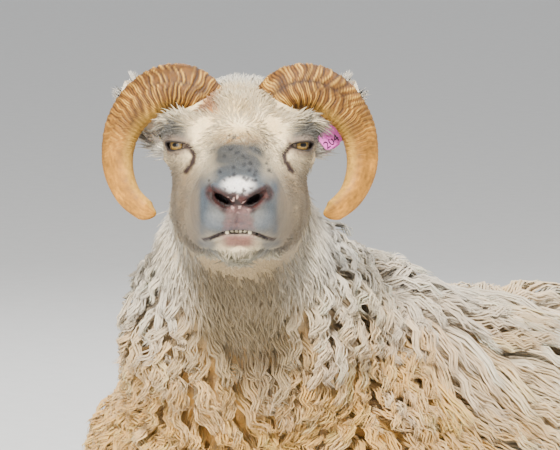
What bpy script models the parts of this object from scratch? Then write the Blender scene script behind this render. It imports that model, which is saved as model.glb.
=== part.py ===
"""A life-size horned Icelandic sheep lying on its chest with its head raised and turned to its left.

Metres, +Z up. The trunk lies along Y with the chest towards -Y, and the sheep's left side is +X.
The origin is the middle of the flat patch on which the trunk rests.
"""

import math

import bmesh
import bpy
import numpy as np
import openvdb
from mathutils import Matrix, Vector

# Gap kept between touching pieces, and the height of the floor
GAP = 0.0004
LEG_GAP = 0.0035
WRAP_GAP = 0.0015
FLOOR = 0.0

# Head place and attitude: the point midway between the eyes, the turn to the left and the slope of the nose
EYE_MIDDLE = np.array([0.160, -0.360, 0.610])
HEAD_TURN = math.radians(42)
NOSE_DOWN = math.radians(17)

# Trunk sizes
WITHERS_HEIGHT = 0.412
LOIN_HEIGHT = 0.360
RUMP_HEIGHT = 0.348
CHEST_HALF_WIDTH = 0.148
BELLY_HALF_WIDTH = 0.172
TRUNK_FRONT = -0.292
TRUNK_BACK = 0.470

# Head sizes
EYE_RADIUS = 0.0140
EYE_PLACE = (0.0560, 0.006, 0.004)
EYE_GAZE = (0.57, 0.77, 0.28)
LID = 0.0028
EYE_OPENING = (0.0126, 0.0058)
MOUTH_AXIS = (0.0, 0.090, -0.035)
MOUTH_DROP = 0.028
MOUTH_REACH = math.radians(80)
MOUTH_HALF_GAP = 0.0015
MOUTH_DEPTH = 0.007
NOSTRIL = (
    (0.0050, -0.0070, 0.0036),
    (0.0115, -0.0035, 0.0054),
    (0.0180, 0.0005, 0.0056),
    (0.0235, 0.0045, 0.0036),
)
NOSTRIL_SINK = 0.0036
TEETH = 6
TOOTH_WIDTH = 0.0052

# Coat: how far the fleece stands over the skin, and how much of that is a solid core under the locks
FLEECE_TRUNK = 0.045
FLEECE_NECK = 0.034
CORE_SHARE = 0.5
SEED = 11

# Locks of wool: how many places are tried, then rows of spacing, length, width and thickness
LOCK_TRIES = 9000
LOCK_RINGS = 4
CHEST_LOCK = (0.074, 0.135, 0.074, 0.022)
FLANK_LOCK = (0.100, 0.190, 0.100, 0.027)
NECK_LOCK = (0.062, 0.110, 0.060, 0.018)
TAIL_LOCK = (0.066, 0.100, 0.054, 0.018)
LOCK_RISE = (-0.65, 0.10, 0.50, 0.62, 0.50)
LOCK_WIDTH = (0.60, 1.00, 0.98, 0.62)
LOCK_LOWEST = 0.012

# Horn centre line beside the head: to the side, back and up from between the eyes, then half the thickness
HORN_LINE = (
    (0.030, 0.040, 0.036, 0.0200),
    (0.050, 0.040, 0.053, 0.0215),
    (0.074, 0.044, 0.054, 0.0220),
    (0.098, 0.050, 0.040, 0.0208),
    (0.1155, 0.056, 0.017, 0.0180),
    (0.1225, 0.057, -0.008, 0.0158),
    (0.1215, 0.052, -0.031, 0.0143),
    (0.1120, 0.043, -0.053, 0.0122),
    (0.0960, 0.034, -0.067, 0.0105),
    (0.0845, 0.028, -0.072, 0.0085),
)
HORN_RINGS = 40
HORN_SIDES = 12
HORN_RIDGE = 0.0010
HORN_RIDGE_FADE = 0.62

# Materials: colour, roughness
LOOKS = {
    "fleece": ((0.72, 0.60, 0.44), 0.95),
    "face_hair": ((0.74, 0.66, 0.54), 0.9),
    "horn": ((0.50, 0.32, 0.16), 0.5),
    "hoof": ((0.16, 0.12, 0.09), 0.5),
    "eye": ((0.35, 0.22, 0.07), 0.08),
    "tag_plastic": ((0.85, 0.28, 0.55), 0.4),
}


def clear_scene():
    for obj in list(bpy.data.objects):
        bpy.data.objects.remove(obj, do_unlink=True)


def material(name):
    found = bpy.data.materials.get(name)
    if found:
        return found
    made = bpy.data.materials.new(name)
    made.use_nodes = True
    colour, roughness = LOOKS[name]
    shader = made.node_tree.nodes["Principled BSDF"]
    shader.inputs["Base Color"].default_value = (*colour, 1.0)
    shader.inputs["Roughness"].default_value = roughness
    shader.inputs["Metallic"].default_value = 0.0
    return made


# The head's axes in the part's frame
TO_SIDE = np.array([math.cos(HEAD_TURN), math.sin(HEAD_TURN), 0.0])
LEVEL_AHEAD = np.array([math.sin(HEAD_TURN), -math.cos(HEAD_TURN), 0.0])
UPRIGHT = np.array([0.0, 0.0, 1.0])
AHEAD = LEVEL_AHEAD * math.cos(NOSE_DOWN) - UPRIGHT * math.sin(NOSE_DOWN)
UP = UPRIGHT * math.cos(NOSE_DOWN) + LEVEL_AHEAD * math.sin(NOSE_DOWN)
HEAD_AXES = np.stack([TO_SIDE, AHEAD, UP])


def head_point(side, ahead, up):
    """A point of the head, along the line of the nose, in the part's frame."""
    return EYE_MIDDLE + side * TO_SIDE + ahead * AHEAD + up * UP


def level_point(side, back, up):
    """A point beside the head, along level axes, in the part's frame."""
    return EYE_MIDDLE + side * TO_SIDE - back * LEVEL_AHEAD + up * UPRIGHT


# Distance fields: below zero inside, above zero outside


def ellipsoid(points, centre, radii):
    scaled = (points - np.array(centre)) / np.array(radii)
    reach = np.linalg.norm(scaled, axis=-1)
    slope = np.linalg.norm(scaled / np.array(radii), axis=-1)
    return reach * (reach - 1.0) / np.maximum(slope, 1e-6)


def limb(points, start, end, start_radius, end_radius):
    start = np.array(start)
    along = np.array(end) - start
    share = np.clip((points - start) @ along / (along @ along), 0.0, 1.0)
    near = points - start - share[..., None] * along
    return np.linalg.norm(near, axis=-1) - (start_radius + share * (end_radius - start_radius))


def merge(first, second, softness):
    share = np.clip(0.5 + 0.5 * (second - first) / softness, 0.0, 1.0)
    return second * (1 - share) + first * share - softness * share * (1 - share)


def ramp(value, low, high):
    share = np.clip((value - low) / (high - low), 0.0, 1.0)
    return share * share * (3 - 2 * share)


def head_field(points):
    """The skull, cheeks, muzzle and jaw in the head's own axes: to the side, ahead and up."""
    local = (points - EYE_MIDDLE) @ HEAD_AXES.T
    local = np.concatenate([np.abs(local[..., :1]), local[..., 1:]], axis=-1)
    skull = ellipsoid(local, (0, -0.034, -0.002), (0.056, 0.068, 0.046))
    poll = ellipsoid(local, (0, -0.070, -0.002), (0.050, 0.042, 0.038))
    body = merge(skull, poll, 0.03)
    nose = limb(local, (0, -0.010, 0.004), (0, 0.108, -0.006), 0.036, 0.029)
    body = merge(body, nose, 0.025)
    orbit = ellipsoid(local, (0.050, -0.008, 0.004), (0.0265, 0.027, 0.024))
    body = merge(body, orbit, 0.014)
    cheek = ellipsoid(local, (0.036, 0.010, -0.046), (0.031, 0.072, 0.050))
    body = merge(body, cheek, 0.03)
    jaw = limb(local, (0.032, -0.025, -0.080), (0.014, 0.090, -0.055), 0.031, 0.020)
    body = merge(body, jaw, 0.03)
    upper_lip = ellipsoid(local, (0.018, 0.110, -0.022), (0.0235, 0.033, 0.025))
    body = merge(body, upper_lip, 0.02)
    nose_tip = ellipsoid(local, (0.010, 0.122, -0.004), (0.021, 0.024, 0.018))
    body = merge(body, nose_tip, 0.012)
    chin = ellipsoid(local, (0.0, 0.103, -0.056), (0.029, 0.033, 0.019))
    return merge(body, chin, 0.008)


def neck_field(points):
    low = limb(points, (0.000, -0.150, 0.250), (0.062, -0.240, 0.400), 0.112, 0.078)
    high = limb(points, (0.062, -0.240, 0.400), (0.110, -0.300, 0.500), 0.078, 0.062)
    top = limb(points, (0.110, -0.300, 0.500), head_point(0, -0.045, -0.030), 0.062, 0.057)
    nape = limb(points, (0.010, -0.060, 0.325), (0.075, -0.230, 0.448), 0.082, 0.052)
    return merge(merge(merge(low, high, 0.03), top, 0.03), nape, 0.04)


def trunk_field(points):
    """The trunk without its legs, alike on both sides."""
    local = np.concatenate([np.abs(points[..., :1]), points[..., 1:]], axis=-1)
    chest_middle = WITHERS_HEIGHT * 0.46
    body = ellipsoid(local, (0, -0.035, chest_middle), (CHEST_HALF_WIDTH, 0.245, chest_middle + 0.008))
    brisket = ellipsoid(local, (0, TRUNK_FRONT + 0.085, 0.150), (0.098, 0.085, 0.125))
    body = merge(body, brisket, 0.05)
    blade = ellipsoid(local, (0.060, -0.035, WITHERS_HEIGHT - 0.112), (0.062, 0.110, 0.112))
    body = merge(body, blade, 0.05)
    shoulder = ellipsoid(local, (0.110, -0.148, 0.165), (0.068, 0.085, 0.132))
    body = merge(body, shoulder, 0.05)
    belly = ellipsoid(local, (0, 0.110, 0.168), (BELLY_HALF_WIDTH, 0.250, 0.178))
    body = merge(body, belly, 0.05)
    loin = ellipsoid(local, (0, 0.170, LOIN_HEIGHT - 0.110), (0.120, 0.260, 0.110))
    body = merge(body, loin, 0.05)
    rump = ellipsoid(local, (0, TRUNK_BACK - 0.140, RUMP_HEIGHT - 0.145), (0.140, 0.140, 0.145))
    body = merge(body, rump, 0.05)
    haunch = ellipsoid(local, (0.122, 0.270, 0.140), (0.070, 0.140, 0.135))
    return merge(body, haunch, 0.05)


def coat_share(points):
    """How much of the fleece grows here: none on the head, all of it on the trunk."""
    along = (points - EYE_MIDDLE) @ -AHEAD
    drop = (EYE_MIDDLE[2] - points[..., 2]) + 0.6 * along
    return ramp(drop, 0.055, 0.220)


def sheep_field(points):
    """Skin of the head, and the solid core of the fleece on neck and trunk."""
    body = merge(trunk_field(points), neck_field(points), 0.06)
    share = coat_share(points)
    depth = FLEECE_NECK * ramp(share, 0.0, 0.5) + (FLEECE_TRUNK - FLEECE_NECK) * ramp(share, 0.4, 1.0)
    body = body - CORE_SHARE * depth
    return merge(body, head_field(points), 0.02)


def mesh_of_field(name, field, low, high, step):
    """A closed quad mesh of a distance field between two corners."""
    low, high = np.array(low), np.array(high)
    counts = np.ceil((high - low) / step).astype(int) + 1
    axes = [low[i] + step * np.arange(counts[i]) for i in range(3)]
    values = np.empty(counts, np.float32)
    for index, x in enumerate(axes[0]):
        y, z = np.meshgrid(axes[1], axes[2], indexing="ij")
        plane = np.stack([np.full_like(y, x), y, z], axis=-1)
        values[index] = field(plane)
    outside = 4 * step
    values = np.clip(values, -outside, outside)
    for side in (0, -1):
        values[side], values[:, side], values[:, :, side] = outside, outside, outside
    grid = openvdb.FloatGrid(outside)
    grid.copyFromArray(values)
    points, quads = grid.convertToQuads()
    points = points * step + low
    mesh = bpy.data.meshes.new(name)
    mesh.from_pydata(points.tolist(), [], quads.tolist())
    if signed_volume(mesh) < 0:
        mesh.flip_normals()
    return mesh


def signed_volume(mesh):
    mesh.calc_loop_triangles()
    corners = np.array([[mesh.vertices[i].co for i in t.vertices] for t in mesh.loop_triangles])
    return float(np.einsum("ij,ij->i", corners[:, 0], np.cross(corners[:, 1], corners[:, 2])).sum() / 6)


def put(name, mesh, look=None):
    """A new object of the scene with one material."""
    obj = bpy.data.objects.new(name, mesh)
    bpy.context.scene.collection.objects.link(obj)
    if look:
        mesh.materials.clear()
        mesh.materials.append(material(look))
    return obj


def remove(obj):
    bpy.data.objects.remove(obj, do_unlink=True)


def settle(obj):
    """Applies an object's modifiers."""
    bpy.context.view_layer.update()
    graph = bpy.context.evaluated_depsgraph_get()
    made = bpy.data.meshes.new_from_object(obj.evaluated_get(graph))
    obj.modifiers.clear()
    obj.data = made
    return obj


def thin_out(obj, triangles):
    """Reduces a mesh to about this many triangles, more where it curves most."""
    obj.data.calc_loop_triangles()
    modifier = obj.modifiers.new("fewer_faces", "DECIMATE")
    modifier.ratio = min(1.0, triangles / len(obj.data.loop_triangles))
    modifier.use_collapse_triangulate = True
    return settle(obj)


def combine(obj, other, operation, solver="EXACT"):
    """A Boolean of an object with another object or with a collection, applied."""
    modifier = obj.modifiers.new("join", "BOOLEAN")
    modifier.operation = operation
    modifier.solver = solver
    if isinstance(other, bpy.types.Collection):
        modifier.operand_type = "COLLECTION"
        modifier.collection = other
    else:
        modifier.object = other
    return settle(obj)


def grown(obj, amount):
    """A copy of an object whose surface stands out by this amount."""
    copy = put(obj.name + "_grown", obj.data.copy())
    work = bmesh.new()
    work.from_mesh(copy.data)
    bmesh.ops.triangulate(work, faces=work.faces)
    work.normal_update()
    moved = [(v, v.normal * amount * min(v.calc_shell_factor(), 3.0)) for v in work.verts]
    for vert, step in moved:
        vert.co += step
    work.to_mesh(copy.data)
    work.free()
    return copy


def hull_of(obj):
    """The convex wrap of an object."""
    work = bmesh.new()
    work.from_mesh(obj.data)
    made = bmesh.ops.convex_hull(work, input=work.verts)
    inner = [v for v in made["geom_interior"] if isinstance(v, bmesh.types.BMVert)]
    bmesh.ops.delete(work, geom=inner, context="VERTS")
    loose = [f for f in work.faces if f not in set(made["geom"])]
    bmesh.ops.delete(work, geom=loose, context="FACES")
    mesh = bpy.data.meshes.new("wrap")
    work.to_mesh(mesh)
    work.free()
    return put("wrap", mesh)


def cut_clear(obj, neighbours, gap=GAP):
    """Cuts an object back from its neighbours, leaving the gap."""
    for other in neighbours:
        cutter = grown(other, gap)
        combine(obj, cutter, "DIFFERENCE", "MANIFOLD")
        remove(cutter)
        keep_largest(obj)
    return obj


def make_room(obj, other):
    """Cuts an object back from the convex wrap of another."""
    wrap = hull_of(other)
    cut_clear(obj, [wrap], WRAP_GAP)
    remove(wrap)


def keep_half(obj, point, normal, solver="EXACT"):
    """Keeps what lies behind a plane, by cutting with a large block in front of it."""
    size = 2.0
    block = bpy.data.meshes.new("block")
    work = bmesh.new()
    bmesh.ops.create_cube(work, size=size)
    bmesh.ops.translate(work, verts=work.verts, vec=(0, 0, size / 2))
    turn = Vector(normal).to_track_quat("Z", "Y").to_matrix().to_4x4()
    bmesh.ops.transform(work, matrix=Matrix.Translation(Vector(point)) @ turn, verts=work.verts)
    work.to_mesh(block)
    work.free()
    cutter = put("cutter", block)
    combine(obj, cutter, "DIFFERENCE", solver)
    remove(cutter)
    return obj


def surface_area(verts):
    return sum(face.calc_area() / 3 for vert in verts for face in vert.link_faces)


def keep_largest(obj):
    """Keeps an object's largest closed surface."""
    work = bmesh.new()
    work.from_mesh(obj.data)
    bmesh.ops.triangulate(work, faces=work.faces)
    work.verts.index_update()
    seen = set()
    groups = []
    for start in work.verts:
        if start.index in seen:
            continue
        seen.add(start.index)
        stack, group = [start], [start]
        while stack:
            for edge in stack.pop().link_edges:
                for vert in edge.verts:
                    if vert.index not in seen:
                        seen.add(vert.index)
                        stack.append(vert)
                        group.append(vert)
        groups.append(group)
    groups.sort(key=surface_area, reverse=True)
    for group in groups[1:]:
        bmesh.ops.delete(work, geom=group, context="VERTS")
    work.to_mesh(obj.data)
    work.free()
    return obj


def rings_mesh(name, rings, tip=None, root=None, folded=False):
    """A closed mesh through rings of points, ended by a point, a fan or, for folded rings, a strip."""
    sides = len(rings[0])
    points = [p for ring in rings for p in ring]
    faces = []
    for r in range(len(rings) - 1):
        for s in range(sides):
            t = (s + 1) % sides
            faces.append((r * sides + s, r * sides + t, (r + 1) * sides + t, (r + 1) * sides + s))
    for ring, end, turned in ((0, root, True), (len(rings) - 1, tip, False)):
        if end is None and folded:
            for s in range(sides // 2 - 1):
                face = [ring * sides + k for k in (s, s + 1, sides - 2 - s, sides - 1 - s)]
                faces.append(tuple(face[::-1] if turned else face))
            continue
        if end is None:
            end = np.mean(rings[ring], axis=0)
        points.append(end)
        for s in range(sides):
            face = (ring * sides + s, ring * sides + (s + 1) % sides, len(points) - 1)
            faces.append(face[::-1] if turned else face)
    mesh = bpy.data.meshes.new(name)
    mesh.from_pydata([tuple(p) for p in points], [], faces)
    if signed_volume(mesh) < 0:
        mesh.flip_normals()
    return mesh


def smooth_line(knots, count):
    """Points along a Catmull-Rom curve through rows of numbers, evenly spaced in the first three."""
    knots = np.array(knots, float)
    padded = np.vstack([2 * knots[0] - knots[1], knots, 2 * knots[-1] - knots[-2]])
    fine = []
    for i in range(1, len(padded) - 2):
        for t in np.linspace(0, 1, 24, endpoint=False):
            a, b, c, d = padded[i - 1 : i + 3]
            bend = (2 * a - 5 * b + 4 * c - d) * t**2 + (3 * b - a - 3 * c + d) * t**3
            fine.append(0.5 * (2 * b + (c - a) * t + bend))
    fine = np.array(fine + [knots[-1]])
    run = np.concatenate([[0], np.cumsum(np.linalg.norm(np.diff(fine[:, :3], axis=0), axis=1))])
    wanted = np.linspace(0, run[-1], count)
    return np.stack([np.interp(wanted, run, fine[:, k]) for k in range(fine.shape[1])], axis=1)


def horn(name, hand):
    """One horn, ringed with growth ridges that fade towards its blunt tip."""
    line = smooth_line(HORN_LINE, HORN_RINGS)
    centres = np.array([level_point(hand * s, b, u) for s, b, u, _ in line])
    middle = np.array(level_point(hand * 0.075, 0.045, -0.010))
    rings = []
    for i, centre in enumerate(centres):
        ahead = centres[min(i + 1, HORN_RINGS - 1)] - centres[max(i - 1, 0)]
        ahead /= np.linalg.norm(ahead)
        out = centre - middle
        out -= ahead * (out @ ahead)
        out /= np.linalg.norm(out)
        across = np.cross(ahead, out) * hand
        share = i / (HORN_RINGS - 1)
        ridge = HORN_RIDGE * (-1) ** i * max(0.0, 1 - share / HORN_RIDGE_FADE)
        radius = line[i, 3] * min(1.0, math.sqrt(max(0.02, (1 - share) / 0.05)))
        ring = []
        for s in range(HORN_SIDES):
            turn = 2 * math.pi * s / HORN_SIDES
            shape = 1 + 0.07 * math.cos(3 * turn) + 0.05 * math.cos(2 * turn)
            reach = radius * shape + ridge
            ring.append(centre + reach * (math.cos(turn) * out + 0.92 * math.sin(turn) * across))
        rings.append(ring)
    return put(name, rings_mesh(name, rings), "horn")


def tube(points, radii, sides=10):
    """Rings round a bent line, with their thickness, as lists for rings_mesh."""
    points = [np.array(p, float) for p in points]
    rings = []
    previous = None
    for i, centre in enumerate(points):
        ahead = points[min(i + 1, len(points) - 1)] - points[max(i - 1, 0)]
        ahead /= np.linalg.norm(ahead)
        guide = previous if previous is not None else np.array([0.0, 0.0, 1.0])
        if abs(guide @ ahead) > 0.98:
            guide = np.array([1.0, 0.0, 0.0])
        over = guide - ahead * (guide @ ahead)
        over /= np.linalg.norm(over)
        previous = over
        across = np.cross(ahead, over)
        turns = [2 * math.pi * s / sides for s in range(sides)]
        rings.append([centre + radii[i] * (math.cos(t) * over + math.sin(t) * across) for t in turns])
    return rings


# Ear centre line beside the head, as for the horn, with its half width
EAR_LINE = (
    (0.058, 0.050, -0.004, 0.0140),
    (0.074, 0.062, 0.006, 0.0190),
    (0.090, 0.078, 0.024, 0.0230),
    (0.105, 0.090, 0.041, 0.0190),
    (0.1135, 0.096, 0.0525, 0.0105),
)
EAR_TIP = (0.1175, 0.0985, 0.058)
EAR_SIDES = 8
EAR_RINGS = 9
EAR_WALL = 0.0035


def ear(name, hand):
    """A leaf-shaped ear, hollowed on the side that faces ahead and out."""
    line = smooth_line(EAR_LINE, EAR_RINGS)
    centres = [level_point(hand * s, b, u) for s, b, u, _ in line]
    rings = []
    for i, centre in enumerate(centres):
        ahead = centres[min(i + 1, EAR_RINGS - 1)] - centres[max(i - 1, 0)]
        ahead /= np.linalg.norm(ahead)
        front = level_point(hand * 0.35, -0.75, -0.35) - EYE_MIDDLE
        front -= ahead * (front @ ahead)
        front /= np.linalg.norm(front)
        across = np.cross(ahead, front)
        half = line[i, 3]
        cup = 0.75 * half * min(1.0, 0.35 + 2.0 * i / EAR_RINGS)
        ring = []
        for s in range(EAR_SIDES + 1):
            t = -1 + 2 * s / EAR_SIDES
            ring.append(centre + across * half * t + front * cup * (t * t - 0.5))
        for s in range(EAR_SIDES, -1, -1):
            t = -1 + 2 * s / EAR_SIDES
            wall = EAR_WALL * (1 - 0.75 * t * t)
            ring.append(centre + across * half * 1.02 * t + front * (cup * (t * t - 0.5) - wall))
        rings.append(ring)
    tip = level_point(hand * EAR_TIP[0], EAR_TIP[1], EAR_TIP[2])
    return put(name, rings_mesh(name, rings, tip=tip, folded=True), "face_hair")


def ball(name, centre, radius, look):
    mesh = bpy.data.meshes.new(name)
    work = bmesh.new()
    bmesh.ops.create_uvsphere(work, u_segments=16, v_segments=10, radius=radius)
    bmesh.ops.translate(work, verts=work.verts, vec=centre)
    work.to_mesh(mesh)
    work.free()
    return put(name, mesh, look)


def eye_place(hand):
    side, ahead, up = EYE_PLACE
    return head_point(hand * side, ahead, up)


def eyeball(name, hand):
    return ball(name, eye_place(hand), EYE_RADIUS, "eye")


def eye_opening(hand):
    """The almond between the lids, as a prism from the middle of the eye outwards."""
    side, ahead, up = EYE_GAZE
    gaze = hand * side * TO_SIDE + ahead * AHEAD + up * UP
    gaze /= np.linalg.norm(gaze)
    across = np.cross(gaze, UP)
    across /= np.linalg.norm(across)
    over = np.cross(across, gaze)
    half_width, half_height = EYE_OPENING
    rings = []
    for run in (0.0, 0.035):
        ring = []
        for s in range(14):
            turn = 2 * math.pi * s / 14
            height = half_height * math.sin(turn) * (1 - 0.25 * abs(math.cos(turn)))
            ring.append(eye_place(hand) + gaze * run + across * half_width * math.cos(turn) + over * height)
        rings.append(ring)
    return put("opening", rings_mesh("opening", rings))


def open_eye(head, hand):
    """Sets a lidded eye socket in the head."""
    lids = ball("lids", eye_place(hand), EYE_RADIUS + LID, None)
    combine(head, lids, "UNION")
    for cutter in (eye_opening(hand), ball("socket", eye_place(hand), EYE_RADIUS + GAP, None)):
        combine(head, cutter, "DIFFERENCE")
        remove(cutter)
    remove(lids)


def on_skin(start, direction, field):
    """The point where a line from inside the body leaves it."""
    direction = np.array(direction) / np.linalg.norm(direction)
    near, far = 0.0, 0.15
    for _ in range(24):
        middle = (near + far) / 2
        if field((start + middle * direction)[None])[0] < 0:
            near = middle
        else:
            far = middle
    return start + near * direction


def mouth_cutter():
    """A thin arched blade that follows the muzzle from one corner of the mouth to the other."""
    rings = []
    count = 18
    for i in range(count + 1):
        turn = MOUTH_REACH * (2 * i / count - 1)
        side, ahead, up = MOUTH_AXIS
        inside = head_point(side, ahead, up - MOUTH_DROP * math.sin(turn) ** 2)
        out = math.sin(turn) * TO_SIDE + math.cos(turn) * AHEAD
        edge = on_skin(inside, out, head_field)
        half = MOUTH_HALF_GAP * (1 - 0.6 * abs(2 * i / count - 1))
        deep, proud = edge - MOUTH_DEPTH * out, edge + 0.01 * out
        rings.append([proud + half * UP, proud - half * UP, deep - 0.4 * half * UP, deep + 0.4 * half * UP])
    return put("mouth", rings_mesh("mouth", rings))


def nostril_cutter(hand):
    points, radii = [], []
    for side, up, radius in NOSTRIL:
        inside = head_point(hand * side, 0.10, up)
        out = AHEAD + 0.25 * hand * TO_SIDE
        points.append(on_skin(inside, out, head_field) - NOSTRIL_SINK * out)
        radii.append(radius)
    return put("nostril", rings_mesh("nostril", tube(points, radii, 8)))


def teeth_pieces():
    """The lower front teeth, standing in the mouth's gap."""
    pieces = []
    for i in range(TEETH):
        side = (i - (TEETH - 1) / 2) * TOOTH_WIDTH
        inside = head_point(side, MOUTH_AXIS[1], MOUTH_AXIS[2] - 0.0030)
        edge = on_skin(inside, AHEAD, head_field)
        rings = []
        for rise, half in ((-0.004, 0.0017), (0.0, 0.0023), (0.0038, 0.0022)):
            middle = edge - 0.0030 * AHEAD + rise * UP
            corners = ((-1, -0.6), (1, -0.6), (1, 0.6), (-1, 0.6))
            rings.append([middle + a * half * TO_SIDE + b * half * AHEAD for a, b in corners])
        pieces.append(put("tooth", rings_mesh("tooth", rings)))
    return pieces


# Ear tag: middle of the front panel beside the head, the slant of its lower edge, panel size, stud
TAG_PLACE = (0.0905, 0.0660, 0.003)
TAG_SLANT = math.radians(37)
TAG_SIZE = (0.021, 0.021, 0.0020)
TAG_BACK_SHIFT = (-0.002, 0.0315, -0.008)
TAG_STUD = 0.0024


def tag_panel(middle, size):
    """A flat panel with one cut corner that faces the way the head does."""
    wide, tall, thick = size
    along = math.cos(TAG_SLANT) * TO_SIDE + math.sin(TAG_SLANT) * UPRIGHT
    over = -math.sin(TAG_SLANT) * TO_SIDE + math.cos(TAG_SLANT) * UPRIGHT
    left = ((-0.34, 0.5), (-0.5, 0.34), (-0.5, -0.36), (-0.36, -0.5))
    right = ((0.42, -0.5), (0.5, -0.42), (0.5, 0.34), (0.30, 0.5))
    corners = left + right
    rings = []
    for depth in (-0.5, 0.5):
        level = middle + thick * depth * LEVEL_AHEAD
        rings.append([level + wide * a * along + tall * b * over for a, b in corners])
    return put("panel", rings_mesh("panel", rings))


def ear_tag(hand):
    """Two small plastic panels on either side of the ear, joined by a stud through it."""
    side, back, up = TAG_PLACE
    front = np.array(level_point(hand * side, back, up))
    shift = np.array(TAG_BACK_SHIFT)
    rear = np.array(level_point(hand * (side + shift[0]), back + shift[1], up + shift[2]))
    tag = tag_panel(front, TAG_SIZE)
    wide, tall, thick = TAG_SIZE
    other = tag_panel(rear, (wide, tall * 0.9, thick))
    stud = put("stud", rings_mesh("stud", tube([front, rear], [TAG_STUD, TAG_STUD], 8)))
    for piece in (other, stud):
        combine(tag, piece, "UNION")
        remove(piece)
    tag.name = "ear_tag"
    tag.data.materials.clear()
    tag.data.materials.append(material("tag_plastic"))
    return keep_largest(tag)


# Leg lines: elbow or stifle to knee or hock to fetlock, for the left side
FORELEG = ((0.128, -0.180, 0.105, 0.046), (0.122, -0.260, 0.078, 0.036), (0.112, -0.352, 0.047, 0.0275))
FORE_CANNON = ((0.112, -0.352, 0.036, 0.0225), (0.122, -0.285, 0.026, 0.0180), (0.134, -0.222, 0.024, 0.0185))
HINDLEG = ((0.168, 0.170, 0.125, 0.055), (0.184, 0.285, 0.088, 0.042), (0.190, 0.398, 0.052, 0.026))
HIND_CANNON = ((0.190, 0.398, 0.038, 0.0235), (0.214, 0.325, 0.026, 0.0180), (0.230, 0.262, 0.024, 0.0190))
HOOF_LENGTH = 0.058


def leg_field(upper, lower):
    def field(points):
        (a, b, c), (d, e, f) = upper, lower
        body = merge(
            limb(points, a[:3], b[:3], a[3], b[3]), limb(points, b[:3], c[:3], b[3], c[3]), 0.02
        )
        body = merge(body, limb(points, d[:3], e[:3], d[3], e[3]), 0.006)
        return merge(body, limb(points, e[:3], f[:3], e[3], f[3]), 0.01)

    return field


def mirrored(line, hand):
    return tuple((hand * x, y, z, r) for x, y, z, r in line)


def leg(name, upper, lower, hand, triangles):
    upper, lower = mirrored(upper, hand), mirrored(lower, hand)
    knots = np.array(upper + lower)
    margin = knots[:, 3].max() + 0.02
    low, high = knots[:, :3].min(0) - margin, knots[:, :3].max(0) + margin
    low[2] = -0.03
    obj = put(name, mesh_of_field(name, leg_field(upper, lower), low, high, 0.006), "face_hair")
    keep_half(obj, (0, 0, FLOOR), (0, 0, -1))
    thin_out(keep_largest(obj), triangles)
    flatten_base(obj)
    return obj


def leg_clearance(upper, lower, hand):
    """The room that the trunk leaves for a leg."""
    upper, lower = mirrored(upper, hand), mirrored(lower, hand)
    field = leg_field(upper, lower)
    knots = np.array(upper + lower)
    margin = knots[:, 3].max() + 0.03
    low, high = knots[:, :3].min(0) - margin, knots[:, :3].max(0) + margin
    mesh = mesh_of_field("room", lambda points: field(points) - LEG_GAP, low, high, 0.006)
    return thin_out(put("room", mesh), 900)


def flatten_base(obj):
    """Puts the points that lie within a hair of the floor exactly on it, and lifts any below it."""
    for vert in obj.data.vertices:
        if vert.co.z < FLOOR + 0.0012:
            vert.co.z = FLOOR
    obj.data.update()


def hoof(name, lower, hand):
    """A cloven hoof of two claws joined at the coronet, its toe pointing away from the cannon."""
    lower = mirrored(lower, hand)
    start, end = np.array(lower[1][:3]), np.array(lower[2][:3])
    along = end - start
    along[2] = 0
    along /= np.linalg.norm(along)
    across = np.array([-along[1], along[0], 0])
    rest = FLOOR + 0.0165
    pieces = []
    for claw in (-1, 1):
        centre = end + along * 0.022
        steps = (
            (0.000, 0.0070, 0.0130, 0.0150),
            (0.020, 0.0110, 0.0125, 0.0172),
            (0.040, 0.0120, 0.0110, 0.0150),
            (HOOF_LENGTH, 0.0090, 0.0050, 0.0080),
        )
        line = [centre + along * s + across * claw * off for s, off, _, _ in steps]
        rings = []
        for point, (_, _, half, tall) in zip(line, steps):
            point[2] = rest
            ring = []
            for s in range(8):
                turn = 2 * math.pi * (s + 0.5) / 8
                ring.append(
                    point + across * half * math.cos(turn) + np.array([0, 0, tall * math.sin(turn)])
                )
            rings.append(ring)
        pieces.append(put("claw", rings_mesh("claw", rings)))
    first, second = pieces
    combine(first, second, "UNION", "MANIFOLD")
    remove(second)
    first.name = name
    first.data.materials.clear()
    first.data.materials.append(material("hoof"))
    keep_half(first, (0, 0, FLOOR), (0, 0, -1))
    return keep_largest(first)


# Locks of wool on the core of the fleece


def slope(points, field):
    """The outward direction of a field's surface."""
    step = 0.002
    parts = [field(points + step * axis) - field(points - step * axis) for axis in np.eye(3)]
    across = np.stack(parts, axis=-1)
    return across / np.maximum(np.linalg.norm(across, axis=-1, keepdims=True), 1e-9)


def lie(points, normals):
    """Which way the wool hangs: down, back along the flanks and away from the middle of the chest."""
    back = 0.75 * ramp(points[:, 1], -0.25, 0.10)
    apart = 0.35 * ramp(-points[:, 1], 0.16, 0.26) * np.clip((points[:, 0] - 0.03) / 0.10, -1, 1)
    wanted = np.stack([apart, back, -np.ones(len(points))], axis=-1)
    along = wanted - normals * np.sum(wanted * normals, axis=-1, keepdims=True)
    return along / np.maximum(np.linalg.norm(along, axis=-1, keepdims=True), 1e-9)


def lock_sizes(points):
    """Spacing, length, width and thickness of the locks that grow at these points."""
    flank = ramp(points[:, 1], -0.24, 0.02)[:, None]
    neck = ramp(points[:, 2], 0.34, 0.42)[:, None] * (1 - flank)
    tail = ramp(points[:, 1], 0.47, 0.50)[:, None]
    chest, side, high = np.array(CHEST_LOCK), np.array(FLANK_LOCK), np.array(NECK_LOCK)
    body = (chest * (1 - flank) + side * flank) * (1 - neck) + high * neck
    return body * (1 - tail) + np.array(TAIL_LOCK) * tail


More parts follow.
